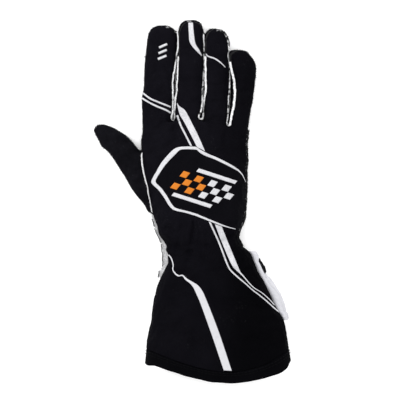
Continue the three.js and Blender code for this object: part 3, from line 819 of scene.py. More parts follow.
# Creases and rolls of the cloth, in plan: from, to, width, depth and the side of the
# glove they are on.
folds = [
    ((-2.4, -34.0), (-3.2, -56.0), 1.3, 2.2, "back"),
    ((-4.8, -62.0), (-5.6, -68.0), 3.6, 2.0, "back"),
    ((-31.0, -42.0), (-15.0, -55.0), 2.6, 1.5, "back"),
    ((-31.0, -51.0), (-12.0, -60.5), 2.4, 1.5, "back"),
    ((-28.5, -59.0), (-10.0, -65.5), 2.2, 1.3, "back"),
    ((-27.5, -66.5), (-9.0, -72.0), 2.4, 1.3, "back"),
    ((-24.0, -76.0), (-5.0, -84.5), 2.8, 1.6, "back"),
    ((-16.0, -91.0), (-24.5, -114.0), 4.2, 1.7, "back"),
    ((-6.0, -70.0), (-13.5, -92.0), 2.6, 1.0, "back"),
    ((38.5, -50.0), (20.0, -58.0), 2.6, 1.6, "back"),
    ((39.5, -59.0), (24.0, -64.0), 2.2, 1.2, "back"),
    ((41.0, -66.0), (22.0, -74.0), 2.8, 1.2, "back"),
    ((10.0, -50.0), (6.0, -78.0), 2.8, 1.0, "back"),
    ((-12.0, -36.0), (-16.0, -58.0), 2.2, 0.9, "back"),
    ((16.0, -88.0), (26.0, -122.0), 5.0, 1.1, "back"),
    ((44.0, -96.0), (60.0, -140.0), 5.5, 1.6, "back"),
    ((-30.0, -118.0), (-14.0, -150.0), 6.0, 1.3, "back"),
    ((4.0, -120.0), (-4.0, -160.0), 6.0, 0.9, "back"),
    ((-44.0, 22.0), (-24.0, 30.0), 3.0, 0.9, "back"),
    ((-20.0, 50.0), (-14.0, 36.0), 2.6, 1.2, "back"),
    ((4.0, 52.0), (2.0, 38.0), 2.6, 1.2, "back"),
    ((28.0, 46.0), (25.0, 31.0), 2.6, 1.2, "back"),
    ((-46.0, 66.0), (-28.0, 62.0), 2.2, 0.7, "back"),
    ((46.0, 40.0), (33.0, 38.0), 2.4, 0.8, "back"),
    ((-60.0, 4.0), (-46.0, 12.0), 2.4, 1.0, "back"),
    ((-72.0, 22.0), (-60.0, 34.0), 2.2, 0.8, "back"),
    ((-36.0, -40.0), (-8.0, -44.0), 3.0, 1.6, "palm"),
    ((36.0, -46.0), (10.0, -52.0), 3.0, 1.6, "palm"),
    ((-24.0, -62.0), (8.0, -60.0), 3.0, 1.4, "palm"),
    ((-40.0, 18.0), (6.0, 4.0), 2.6, 1.3, "palm"),
    ((44.0, 22.0), (4.0, 26.0), 2.6, 1.3, "palm"),
    ((-24.0, 12.0), (-16.0, -34.0), 2.8, 1.3, "palm"),
    ((-20.0, -90.0), (-24.0, -130.0), 5.0, 1.8, "palm"),
    ((30.0, -86.0), (44.0, -128.0), 5.0, 1.8, "palm"),
]
for finger in fingers.values():  # knuckle creases across each finger
    reach = finger["end"] - 50
    for share, depth in ((0.22, 0.5), (0.42, 0.55), (0.7, 0.45)):
        y = 50 + reach * share
        x = fingerX(finger, (y - fingerRoot) / (finger["end"] - fingerRoot))
        half = finger["width"] * 0.42
        folds.append(((x - half, y - 1), (x + half, y + 1.2), 1.8, depth, "back"))
        folds.append(((x - half, y), (x + half, y), 2.4, depth * 2, "palm"))


def foldSkin(bm):
    bm.verts.ensure_lookup_table()
    bm.normal_update()
    co = np.array([v.co[:] for v in bm.verts])
    normal = np.array([v.normal[:] for v in bm.verts])
    seam = np.array([seamHeight(y) for y in co[:, 1]])
    above = np.clip((co[:, 2] - seam) / 5.0 + 0.5, 0, 1)
    push = np.zeros(len(co))
    for index, (start, end, width, depth, side) in enumerate(folds):
        a, b = np.array(start), np.array(end)
        span = b - a
        length = np.linalg.norm(span)
        ahead = span / length
        rel = co[:, :2] - a
        t = rel @ ahead / length
        aside = rel @ np.array((-ahead[1], ahead[0]))
        near = np.abs(aside) < 5 * width
        near &= (t > -0.4) & (t < 1.4)
        aside = aside + 0.12 * length * np.sin(math.pi * np.clip(t, 0, 1)) * math.sin(index * 2.4)
        aside = aside + 0.6 * np.sin(co[:, 0] * 0.45 + co[:, 1] * 0.3 + index)
        w = width * (0.75 + 0.5 * np.clip(t, 0, 1))
        shape = np.exp(-(aside / w) ** 2) - 0.42 * np.exp(-((np.abs(aside) - 2.2 * w) / (1.2 * w)) ** 2)
        ends = np.clip((t + 0.15) / 0.35, 0, 1) * np.clip((1.15 - t) / 0.35, 0, 1)
        share = above if side == "back" else 1 - above
        push -= np.where(near, depth * shape * ends * share, 0)
    scales = ((24.0, 0.7, 1), (9.0, 0.32, 2), (3.6, 0.10, 3))
    for scale, amount, seed in scales:
        push += amount * np.array([wobble(seed, p[0] / scale, p[1] / scale, p[2] / scale) for p in co])
    # the side seams draw the cloth in a little, and their stitching ripples it
    aside = np.abs(normal[:, 0]) ** 2
    nearSeam = np.exp(-((co[:, 2] - seam) / 1.5) ** 2)
    ripple = np.array([wobble(4, p[1] / 2.4, p[0] / 2.4) for p in co])
    push += (0.45 * ripple - 0.4) * nearSeam * np.maximum(aside, normal[:, 1] ** 2)
    onFloor = np.clip((co[:, 2] - 0.4) / 3.0, 0, 1)
    flatPalm = np.clip(-normal[:, 2] * 2 - 1, 0, 1) * (1 - onFloor)
    push *= 1 - 0.35 * flatPalm
    moved = co + normal * push[:, None]
    moved[:, 2] = np.maximum(moved[:, 2], 0.0)
    for v, p in zip(bm.verts, moved):
        v.co = p
    evenOut(bm, bm.verts, 0.3)
    bm.normal_update()


def closeFingerGaps(bm, leave, until):
    # the strips between two fingers bulge until they all but touch
    bm.normal_update()
    tree = BVHTree.FromBMesh(bm)
    pushes = []
    for v in bm.verts:
        if v.co.y < 48 or abs(v.normal.x) < 0.45 or not 1.0 < v.co.z < 15.0:
            continue
        heading = Vector((math.copysign(1, v.normal.x), 0, 0))
        hit, normal, _, distance = tree.ray_cast(v.co + heading * 0.05, heading, 9.0)
        if hit is None or normal.x * heading.x > -0.3:
            continue
        share = math.exp(-((v.co.z - 7.0) / 5.0) ** 2) * smooth((until(v.co.x) - v.co.y) / 14)
        pushes.append((v, heading * max(0.0, (distance - leave) / 2) * share))
    for v, push in pushes:
        v.co += push
    evenOut(bm, [v for v, _ in pushes], 0.4)


foldSkin(skin)
closeFingerGaps(skin, 0.4, lambda x: 134.0 if x < 22 else 116.0)
skin.normal_update()
surface = BVHTree.FromBMesh(skin)
print("skin folded")


# ---- panels cut from the skin

thumbSeamLine = [(-49.6, 60.0), (-49.2, 30.0), (-48.9, 23.8), (-48.1, 15.8), (-46.1, 5.3), (-43.7, -3.5),
                 (-41.7, -14.8), (-40.4, -22.0), (-38.8, -30.0), (-38.2, -36.0), (-60.0, -46.0)]
fourchette = {"low": 4.6, "high": 13.0, "setback": 9.0, "names": [("index", "middle"),
              ("middle", "ring"), ("ring", "little")]}


def thumbSeamX(y):
    for (x0, y0), (x1, y1) in zip(thumbSeamLine, thumbSeamLine[1:]):
        if y1 <= y <= y0:
            return lerp(x1, x0, (y - y1) / (y0 - y1))
    return -200.0


def hemLine(x):
    # Y of the line where the hem band starts
    section = cuffSection(hemStart)
    side = max(-1.0, min(1.0, (x - section["x"]) / (section["width"] / 2)))
    return section["y"] + section["bow"] * (1 - side * side) * (1 + cuff["bowLean"] * side)


def cutAlong(bm, axis, line, faces=None, remove=False):
    # cuts along a curved line by levelling it, cutting there and moving everything back
    other = 1 if axis != 1 else 0
    for v in bm.verts:
        v.co[axis] -= line(v.co[other])
    faces = list(bm.faces) if faces is None else faces
    # a dictionary, not a set, keeps the elements in the same order in every run
    geom = dict.fromkeys(faces)
    for f in faces:
        geom.update(dict.fromkeys(f.edges))
        geom.update(dict.fromkeys(f.verts))
    normal = Vector((0, 0, 0))
    normal[axis] = 1.0
    bmesh.ops.bisect_plane(bm, geom=list(geom), dist=1e-4, plane_co=(0, 0, 0), plane_no=normal,
                           clear_inner=remove)
    for v in bm.verts:
        v.co[axis] += line(v.co[other])


def fourchetteOf(c):
    # which gap between two fingers a place is in, or None
    if c.y < 38 or not fourchette["low"] < c.z < fourchette["high"]:
        return None
    for a, b in fourchette["names"]:
        left, right = fingers[a], fingers[b]
        xa = fingerX(left, (c.y - fingerRoot) / (left["end"] - fingerRoot))
        xb = fingerX(right, (c.y - fingerRoot) / (right["end"] - fingerRoot))
        if xa < c.x < xb:
            owner = left if c.x - xa < xb - c.x else right
            return (a, b) if c.y < owner["end"] - fourchette["setback"] else None
    return None


def panelOf(face):
    c = face.calc_center_median()
    if c.x < thumbSeamX(c.y):
        return "thumb_back" if c.z > seamHeights["finger"] else "thumb_front"
    between = fourchetteOf(c)
    if between:
        return "fourchette_%s_%s" % between
    if c.z > seamHeight(c.y):
        return "back_fabric"
    return "palm_suede" if c.y > hand["wristY"] else "cuff_underside"


cutAlong(skin, 1, hemLine, remove=True)
cutAlong(skin, 2, seamHeight)
cutAlong(skin, 0, thumbSeamX,
         [f for f in skin.faces if f.calc_center_median().x < -30 and -42 < f.calc_center_median().y < 58])
cutAlong(skin, 2, lambda y: seamHeights["finger"],
         [f for f in skin.faces if f.calc_center_median().x < -36 and f.calc_center_median().y < 58
          and f.calc_center_median().y > -42])
for level in (fourchette["low"], fourchette["high"]):
    cutAlong(skin, 2, lambda y: level, [f for f in skin.faces if f.calc_center_median().y > 36])
cutAlong(skin, 1, lambda x: hand["wristY"],
         [f for f in skin.faces if f.calc_center_median().z < seamHeight(f.calc_center_median().y)])

panelNames = {}
skin.faces.index_update()
for face in skin.faces:
    panelNames.setdefault(panelOf(face), []).append(face.index)
panelStyle = {
    "back_fabric": (knitCloth, "knit", 1.6), "palm_suede": (palmSuede, "suede", 1.8),
    "cuff_underside": (cuffCloth, "knit", 1.6), "thumb_back": (palmSuede, "suede", 1.6),
    "thumb_front": (palmSuede, "suede", 1.6),
}


def addClothMap(bm, downFrom=40.0):
    # cloth map: laid out from above, and run on down the steep sides
    layer = bm.loops.layers.uv.get("cloth") or bm.loops.layers.uv.new("cloth")
    for face in bm.faces:
        n = face.normal
        for loop in face.loops:
            p = loop.vert.co
            drop = (downFrom - p.z) * math.copysign(min(1.0, abs(n.x) * 1.4), n.x)
            loop[layer].uv = ((p.x + drop) * mm, (p.y + (0 if abs(n.y) < 0.7 else p.z)) * mm)


def makePanel(name, faceIndices):
    keep = set(faceIndices)
    bm = skin.copy()
    bm.faces.ensure_lookup_table()
    bmesh.ops.delete(bm, geom=[f for f in bm.faces if f.index not in keep], context="FACES")
    bmesh.ops.remove_doubles(bm, verts=bm.verts, dist=0.01)
    # the cut edges draw back, which leaves the seam's gap
    inward = {}
    for v in bm.verts:
        if v.is_boundary:
            inner = [e.other_vert(v).co for e in v.link_edges if not e.is_boundary]
            if inner:
                inward[v] = sum(inner, Vector()) / len(inner)
    for v, to in inward.items():
        step = to - v.co
        if step.length > 1e-6:
            v.co += step.normalized() * min(0.16, step.length * 0.5)
    bm.normal_update()
    addClothMap(bm)
    obj = meshObject(name, bm)
    material, slot, wall = panelStyle.get(name, (knitCloth, "knit", 1.4))
    dress(obj, material, ["back_fabric", "cuff_back"] if name == "back_fabric" else [name])
    thicken(obj, "wall", wall, -1.0)
    return obj


for name, faceIndices in panelNames.items():
    makePanel(name, faceIndices)
print("panels cut:", {name: len(f) for name, f in panelNames.items()})


# ---- what follows is laid on the glove's surface

def onTop(x, y, lift=0.0):
    # the place on the back straight below, raised along the surface's normal
    hit, normal, _, _ = surface.ray_cast(Vector((x, y, 200)), Vector((0, 0, -1)))
    if hit is None or hit.z < 1.0:
        hit, normal, _, _ = surface.find_nearest(Vector((x, y, seamHeight(y) + 1.0)))
    return hit + normal * lift, normal


def fromSide(side, y, z):
    # where a level line from outside meets the cloth
    return surface.ray_cast(Vector((side * 200, y, z)), Vector((-side, 0, 0)))[0]


def ribbonOnTop(name, leftEdge, rightEdge, lift, thickness, step=0.9):
    # a thin printed or sewn shape between two lines in plan, laid on the back
    pairs = curvePair(leftEdge, rightEdge, step)
    across = max(1, round(max((a - b).length for a, b in pairs) / step))
    bm = bmesh.new()
    bmesh.ops.create_grid(bm, x_segments=across, y_segments=len(pairs) - 1, size=0.5)
    for v in bm.verts:
        s, t = v.co.x + 0.5, v.co.y + 0.5
        left, right = pairs[round(t * (len(pairs) - 1))]
        p = left.lerp(right, s)
        v.co, _ = onTop(p.x, p.y, lift)
    bmesh.ops.remove_doubles(bm, verts=bm.verts, dist=0.02)
    bmesh.ops.recalc_face_normals(bm, faces=bm.faces)
    if sum(f.normal.z * f.calc_area() for f in bm.faces) < 0:
        bmesh.ops.reverse_faces(bm, faces=bm.faces)
    bm.normal_update()
    addClothMap(bm)
    obj = meshObject(name, bm)
    thicken(obj, "thickness", thickness, 1.0)
    return obj


printed = {"lift": 0.06, "thickness": 0.16, "step": 0.8}


def lineOnTop(name, line, width):
    # a stripe with an even or changing width along a line in plan
    points = curveThrough(line, 1.0)
    widths = width if isinstance(width, (list, tuple)) else [width, width]
    left, right = [], []
    for i, p in enumerate(points):
        heading = (points[min(len(points) - 1, i + 1)] - points[max(0, i - 1)]).normalized()
        aside = Vector((-heading.y, heading.x, 0))
        at = i / (len(points) - 1) * (len(widths) - 1)
        k = min(len(widths) - 2, int(at))
        half = lerp(widths[k], widths[k + 1], at - k) / 2
        left.append(p + aside * half)
        right.append(p - aside * half)
    return ribbonOnTop(name, left, right, *printed.values())


# panel on the back of the hand, between its upper and lower edge from the thumb's side
backPanel = {
    "upper": [(-40.4, -1.6), (-36.0, 8.0), (-29.7, 18.2), (-20.1, 28.2), (-16.0, 29.7), (-4.0, 30.2),
              (4.0, 27.6), (8.5, 25.0), (18.5, 20.6), (28.8, 15.4), (38.4, 9.2), (43.6, -0.5),
              (44.4, -14.0)],
    "lower": [(-40.4, -1.9), (-36.8, -6.4), (-33.2, -10.1), (-28.4, -17.0), (-24.2, -23.9),
              (-20.6, -27.2),
              (-11.8, -29.4), (-2.2, -32.1), (10.9, -37.0), (22.6, -41.3), (30.0, -43.2), (36.0, -44.8),
              (39.5, -43.0)],
    "thickness": 0.5,
}
panel = ribbonOnTop("back_panel", backPanel["upper"], backPanel["lower"], 0.05, backPanel["thickness"])
dress(panel, panelCloth, ["back_panel"])

prints = {
    "stripe_index_upper": {"line": [(-49.5, 79.4), (-47.5, 78.0), (-41.2, 73.2), (-34.0, 70.0),
                                    (-22.8, 65.6)],
                           "width": 1.5},
    "stripe_index_lower": {"line": [(-50.0, 75.0), (-48.6, 73.8), (-42.0, 69.6), (-34.8, 66.0),
                                    (-26.7, 62.7),
                                    (-22.8, 60.3)], "width": 1.5},
    "stripe_middle_thin": {"line": [(-16.9, 58.2), (-13.7, 49.1), (-9.1, 39.9), (-4.0, 29.8)],
                           "width": 1.6},
    "stripe_ring": {"line": [(8.4, 114.2), (10.7, 111.5), (16.7, 109.2), (22.1, 105.5), (26.4, 101.4)],
                    "width": [0.8, 1.3, 1.2, 0.6]},
    "stripe_wrist_thin": {"line": [(11.9, -36.8), (20.4, -55.6), (29.3, -78.2), (31.5, -81.4),
                                   (37.5, -87.0),
                                   (43.9, -92.4), (50.0, -97.9), (56.8, -103.2), (63.4, -108.7),
                                   (69.8, -114.6), (74.6, -118.6)], "width": [1.5, 1.5, 1.0, 1.0]},
}
for name, stripe in prints.items():
    dress(lineOnTop(name, stripe["line"], stripe["width"]), whitePrint)

widePrints = {
    "stripe_middle_wide": {"left": [(-17.2, 69.4), (-16.4, 66.0), (-14.6, 58.9), (-10.9, 52.4),
                                    (-7.2, 45.5),
                                    (-3.4, 38.0), (0.9, 29.4)],
                           "right": [(-16.8, 69.2), (-15.0, 66.6), (-10.2, 63.0), (-7.2, 58.2),
                                     (-2.7, 49.2),
                                     (2.5, 38.6), (8.2, 25.4)]},
    "stripe_middle_tip": {"left": [(-6.9, 141.6), (-6.4, 131.7), (-5.4, 123.4), (1.0, 115.2),
                                   (5.0, 111.6)],
                          "right": [(-2.8, 141.6), (-1.9, 131.7), (-0.4, 122.5), (2.9, 117.0),
                                    (5.3, 112.0)]},
    "stripe_wrist_wide": {"left": [(16.9, -39.6), (23.8, -57.5), (32.9, -77.5), (36.0, -80.8),
                                   (41.9, -86.4),
                                   (47.2, -92.5), (51.5, -96.6), (58.1, -100.8), (62.6, -104.6),
                                   (66.9, -108.8), (69.9, -112.4)],
                          "right": [(22.9, -41.4), (28.6, -55.6), (37.8, -77.9), (39.6, -82.0),
                                    (43.3, -86.6),
                                    (47.9, -92.0), (52.1, -96.2), (58.5, -100.3), (63.1, -104.1),
                                    (67.5, -108.5), (70.5, -112.1)]},
    "stripe_cuff": {"left": [(-24.9, -67.4), (-22.4, -70.8), (-20.7, -76.7), (-21.2, -80.2),
                             (-19.0, -84.0),
                             (-15.9, -86.3), (-12.1, -86.1), (-9.3, -89.3), (-5.0, -92.6), (-2.3, -96.0),
                             (0.6, -102.0), (3.6, -108.9), (13.7, -136.7), (24.8, -169.2)],
                    "right": [(-24.2, -66.9), (-21.6, -70.2), (-19.8, -76.6), (-20.2, -80.1),
                              (-18.2, -83.2),
                              (-15.3, -85.2), (-11.9, -84.9), (-8.4, -87.8), (-3.2, -90.9), (1.8, -94.1),
                              (5.9, -99.2), (8.6, -105.1), (20.0, -134.2), (31.9, -169.6)]},
}
for name, stripe in widePrints.items():
    dress(ribbonOnTop(name, stripe["left"], stripe["right"], *printed.values()), whitePrint)

# the panel's printed border lies on the panel
over = 0.08 + backPanel["thickness"]
border = {
    "outer": [(44.2, -1.5), (41.9, 4.4), (38.4, 9.2), (34.3, 12.3), (28.8, 15.4), (18.5, 20.6),
              (8.5, 25.0),
              (4.0, 27.6), (-0.1, 30.0), (-4.0, 30.2), (-9.1, 30.2), (-16.0, 29.7), (-20.1, 28.2),
              (-29.7, 18.2), (-36.0, 8.0), (-40.4, -0.6), (-40.4, -2.6), (-33.2, -10.1), (-28.4, -17.0),
              (-24.2, -23.9), (-20.6, -27.2), (-18.0, -28.2), (-11.8, -29.4), (-2.2, -32.1),
              (10.9, -37.0),
              (22.6, -41.3), (34.7, -44.5)],
    "inner": [(44.0, -1.9), (41.2, 3.7), (37.6, 7.4), (33.2, 9.9), (27.6, 12.8), (17.2, 17.6),
              (6.8, 21.9),
              (3.4, 23.9), (1.1, 26.4), (-2.6, 27.0), (-8.2, 27.1), (-13.9, 26.3), (-17.6, 22.9),
              (-26.3, 13.6), (-31.8, 5.8), (-35.2, -0.4), (-35.2, -2.2), (-30.4, -7.4), (-25.2, -14.6),
              (-21.4, -21.1), (-18.8, -24.4), (-15.9, -25.6), (-10.6, -27.0), (-1.4, -29.6),
              (11.6, -34.9),
              (23.2, -39.6), (34.9, -43.8)],
    "shares": (0.18, 0.92),
}
borderEdges = [[Vector(a).lerp(Vector(b), share) for a, b in zip(border["outer"], border["inner"])]
               for share in border["shares"]]
panelBorder = ribbonOnTop("panel_border", *borderEdges, over, printed["thickness"], printed["step"])
dress(panelBorder, whitePrint)

# a plain slanted check fills the panel's middle
check = {"centre": (7.6, -7.6), "tilt": -18.0, "slant": 0.38, "cell": (6.5, 6.2), "columns": 8, "rows": 3,
         "bar": (36.0, 3.4), "barGap": 2.6, "gap": 0.25, "thickness": 0.14, "step": 0.9}


def onSlant(x, y):
    x += y * check["slant"]
    c, s = math.cos(math.radians(check["tilt"])), math.sin(math.radians(check["tilt"]))
    return (check["centre"][0] + x * c - y * s, check["centre"][1] + x * s + y * c)


def slantedPatch(name, x0, x1, y0, y1, lift, material):
    left, right = [onSlant(x0, y0), onSlant(x0, y1)], [onSlant(x1, y0), onSlant(x1, y1)]
    return dress(ribbonOnTop(name, left, right, lift, check["thickness"], check["step"]), material)


for row in range(check["rows"]):
    for column in range(check["columns"]):
        if (row + column) % 2:
            continue
        w, h = check["cell"]
        x, y = (column - check["columns"] / 2) * w, (row - check["rows"] / 2) * h
        colour = orangePrint if column < check["columns"] / 2 else whitePrint
        gap = check["gap"]
        slantedPatch("check_%d_%d" % (row, column), x + gap, x + w - gap, y + gap, y + h - gap, over,
                     colour)
for name, side, shift in (("check_bar_upper", 1, 2.0), ("check_bar_lower", -1, -2.0)):
    near = side * (check["rows"] / 2 * check["cell"][1] + check["barGap"])
    far = near + side * check["bar"][1]
    half = check["bar"][0] / 2
    slantedPatch(name, shift - half, shift + half, min(near, far), max(near, far), over, whitePrint)
# three short bars on the index finger
indexBars = {"count": 3, "first": 108.6, "pitch": 5.2, "width": 2.0}
for row in range(indexBars["count"]):
    y = indexBars["first"] + row * indexBars["pitch"]
    bar = lineOnTop("index_bar_%d" % row, [(-34.2 + row * 0.5, y), (-30.4 + row * 0.4, y + 1.6),
                                           (-26.6 + row * 0.3, y + 3.2)], indexBars["width"])
    dress(bar, whitePrint)
print("prints laid")


# ---- outside seam edges

def averaged(line):
    return [line[0]] + [(a + b * 2 + c) / 4 for a, b, c in zip(line, line[1:], line[2:])] + [line[-1]]


def addYarn(bm, root, reach, radius, white, shade=1.0):
    cone = bmesh.ops.create_cone(bm, cap_ends=True, segments=3, radius1=radius, radius2=radius * 0.4,
                                 depth=reach.length)
    turn = Vector((0, 0, 1)).rotation_difference(reach).to_matrix()
    bmesh.ops.rotate(bm, cent=(0, 0, 0), matrix=turn, verts=cone["verts"])
    bmesh.ops.translate(bm, vec=root + reach / 2, verts=cone["verts"])
    for v in cone["verts"]:
        v[white] = shade


def seamEdge(name, foot, outwards, style, seed, whites=None):
    # a standing seam allowance of two plies along foot points, with a ragged pale cut edge;
    # style has its heights, thickness, where along its height the pale edge starts, and its fringe
    rows = len(foot)
    whites = whites or [1.0] * rows
    bm, white = newYarns()
    columns = 5
    for ply in (-1, 1):
        loops = []
        for i in range(rows):
            ahead = (foot[min(rows - 1, i + 1)] - foot[max(0, i - 1)]).normalized()
            out = outwards[i].normalized()
            aside = ahead.cross(out).normalized()
            lump = 1 + 0.2 * wobble(seed + ply, i * 0.21) + 0.16 * wobble(seed + 1 + ply, i * 0.83)
            height = style["heights"][i] * lump
            lean = 0.5 * wobble(seed + 2, i * 0.09) + 0.22 * wobble(seed + 3 + ply, i * 0.37)
            gape = style["thick"][i] * (0.22 + 0.14 * wobble(seed + 5 + ply, i * 0.26))
            ends = smooth(min(i, rows - 1 - i) / 4)
            ring = []
            for side in (1, -1):
                for k in range(columns + 1):
                    s = k / columns if side == 1 else 1 - k / columns
                    rough = 0.4 * wobble(seed + 7 + side, i * 0.6, s * 3, ply)
                    half = style["thick"][i] * 0.24 * (1 + rough)
                    half *= lerp(0.55, 1.0, ends) * (0.7 if s == 1 else 1.0)
                    p = foot[i] + out * (s * height * lerp(0.4, 1.0, ends))
                    p += aside * (half * side + ply * gape * s + lean * s * s)
                    v = bm.verts.new(p)
                    v[white] = smooth((s - style["whiteFrom"]) / 0.3) * whites[i]
                    ring.append(v)
            loops.append([bm.edges.new((a, b)) for a, b in zip(ring, ring[1:] + ring[:1])])
        for a, b in zip(loops, loops[1:]):
            bmesh.ops.bridge_loops(bm, edges=a + b)
        bmesh.ops.contextual_create(bm, geom=loops[0])
        bmesh.ops.contextual_create(bm, geom=loops[-1])
    bmesh.ops.recalc_face_normals(bm, faces=bm.faces)
    # loose yarns along the cut edge
    dice = random.Random(seed)
    for i in range(1, rows - 1):
        ahead = (foot[i + 1] - foot[i - 1]).normalized()
        out = outwards[i].normalized()
        aside = ahead.cross(out).normalized()
        for _ in range(int(style["fringe"]) + (dice.random() < style["fringe"] % 1)):
            root = foot[i] + out * style["heights"][i] * dice.uniform(0.7, 0.95)
            root += aside * style["thick"][i] * dice.uniform(-0.45, 0.45) + ahead * dice.uniform(-0.3, 0.3)
            reach = (out * dice.uniform(0.1, 0.9) + aside * dice.uniform(-1, 1)
                     + ahead * dice.uniform(-0.8, 0.8))
            shade = 1.0 if whites[i] > 0.5 and dice.random() < 0.85 else 0.0
            longest = style.get("yarn", 1.2)
            addYarn(bm, root, reach.normalized() * dice.uniform(0.4, 1.0) * longest, 0.1, white, shade)
    obj = meshObject(name, bm)
    return dress(obj, rawEdge, [name])


# the raw seams between two fingers, in plan: down one finger, round the crotch and up the next.
# "pale" is how far up each side the pale edge reaches, "wide" the thickness on each side, and
# "worn" how much of the white is lost there.
fingerSeams = {
    "seam_edge_index_middle": {
        "down": [(-25.2, 137.4), (-20.6, 136.6), (-16.6, 133.0), (-15.9, 127.0), (-16.0, 119.0),
                 (-17.2, 111.9), (-18.7, 106.7), (-19.8, 99.2), (-21.4, 88.0), (-21.2, 76.8),
                 (-21.4, 65.6),
                 (-21.6, 60.4)],
        "crotch": [(-22.4, 57.2), (-22.3, 54.9), (-20.8, 53.6), (-19.3, 54.8), (-19.1, 57.0)],
        "up": [(-19.1, 60.0), (-18.6, 65.6), (-17.5, 76.8), (-16.6, 88.0), (-16.0, 99.2), (-15.7, 106.7),
               (-15.2, 114.0), (-14.9, 122.0), (-14.9, 131.0), (-13.0, 138.0), (-9.0, 142.0)],
        "pale": (137.0, 114.0), "wide": (1.35, 1.3), "worn": (0.3, 0.1)},
    "seam_edge_middle_ring": {
        "down": [(-1.6, 142.4), (3.0, 140.2), (6.2, 134.4), (6.8, 128.0), (7.0, 119.0), (7.3, 110.0),
                 (7.1, 102.2), (6.4, 96.7), (6.0, 90.8), (5.5, 84.3), (5.3, 76.8), (5.0, 69.4),
                 (4.3, 63.4),
                 (3.3, 59.6)],
        "crotch": [(2.3, 58.2), (2.4, 55.8), (4.0, 54.8), (5.5, 56.0)],
        "up": [(6.1, 59.4), (6.7, 63.4), (7.5, 69.4), (8.2, 74.6), (9.2, 80.6), (9.3, 88.0), (9.1, 95.5),
               (8.7, 102.0), (8.7, 108.0), (8.8, 118.0), (9.0, 127.0), (11.4, 132.6), (15.4, 135.2)],
        "pale": (134.0, 114.0), "wide": (1.25, 1.9), "worn": (0.66, 0.05)},
    "seam_edge_ring_little": {
        "down": [(21.0, 134.6), (25.6, 131.4), (28.2, 126.1), (29.1, 119.0), (28.9, 111.9), (29.2, 106.7),
                 (29.9, 99.2), (30.1, 91.8), (29.9, 84.3), (29.4, 76.8), (29.1, 70.9), (28.6, 64.9),
                 (28.2, 58.2), (27.8, 53.6)],
        "crotch": [(27.4, 51.0), (28.2, 49.2), (29.8, 48.7), (31.0, 50.4)],
        "up": [(31.5, 53.2), (32.2, 56.6), (33.2, 61.6), (34.2, 67.1), (35.0, 73.1), (35.2, 78.3),
               (34.9, 84.3), (34.2, 90.3), (33.0, 96.2), (31.8, 102.2), (31.2, 108.0), (31.2, 112.0),
               (34.2, 115.4), (38.4, 116.6)],
        "pale": (134.0, 109.0), "wide": (1.1, 2.3), "worn": (0.66, 0.0)},
}
fingerSeamHeight = 2.5
for seed, (name, seam) in enumerate(fingerSeams.items()):
    line = curveThrough(seam["down"] + seam["crotch"] + seam["up"], 0.5)
    turnAt = min(range(len(line)), key=lambda i: line[i].y)
    foot, outwards, heights, thick, whites = [], [], [], [], []
    for i, p in enumerate(line):
        stray = 0.32 * wobble(seed + 20, i * 0.07)
        place, normal = onTop(p.x + stray + 0.18 * wobble(seed + 21, i * 0.22), p.y)
        up = Vector((normal.x * 0.35, normal.y * 0.35, 1.0))
        outwards.append(up)
        foot.append(place - up.normalized() * 0.4)
        side = smooth((i - turnAt) / 12 + 0.5)
        top = lerp(seam["pale"][0], seam["pale"][1], side)
        pale = smooth((top - p.y) / 5)
        worn = lerp(seam["worn"][0], seam["worn"][1], side)
        whites.append(pale * (1 - worn * (0.55 + 0.9 * wobble(seed + 33, i * 0.17))))
        heights.append(fingerSeamHeight * (0.85 + 0.25 * wobble(seed, i * 0.04)) * lerp(0.45, 1.0, pale))
        width = lerp(seam["wide"][0], seam["wide"][1], side)
        thick.append(width * (1 + 0.28 * wobble(seed + 9, i * 0.16)) * lerp(0.7, 1.0, pale))
    for _ in range(2):
        foot = averaged(foot)
    seamEdge(name, foot, outwards,
             {"heights": heights, "thick": thick, "whiteFrom": 0.25, "fringe": 1.6, "yarn": 1.1},
             seed * 11 + 3, whites)

thumbLine = curveThrough([(-48.6, 24.6), (-48.1, 15.8), (-46.1, 5.3), (-43.9, -3.5), (-41.9, -14.8),
                          (-40.5, -22.0), (-39.0, -29.4)], 0.5)
foot, outwards = [], []
for i, p in enumerate(thumbLine):
    place, _ = onTop(p.x + 0.3 * wobble(31, i * 0.1), p.y)
    up = Vector((-0.55, 0.0, 1.0))
    outwards.append(up)
    foot.append(place - up.normalized() * 0.4)
count = len(foot)
seamEdge("seam_edge_thumb", foot, outwards,
         {"heights": [1.7] * count,
          "thick": [lerp(1.4, 0.7, smooth((i / count - 0.1) / 0.4)) for i in range(count)],
          "whiteFrom": 0.2, "fringe": 1.3, "yarn": 1.0}, 41)


def sideFoot(plan, side, step, inset=0.5):
    # foot points along the side seam, where a level line from outside meets the cloth
    foot, outwards = [], []
    for p in curveThrough(plan, step):
        foot.append(fromSide(side, p.y, seamHeight(p.y)) - Vector((side * inset, 0, 0)))
        outwards.append(Vector((side, 0, 0.12)))
    for _ in range(4):
        foot = averaged(foot)
    return foot, outwards


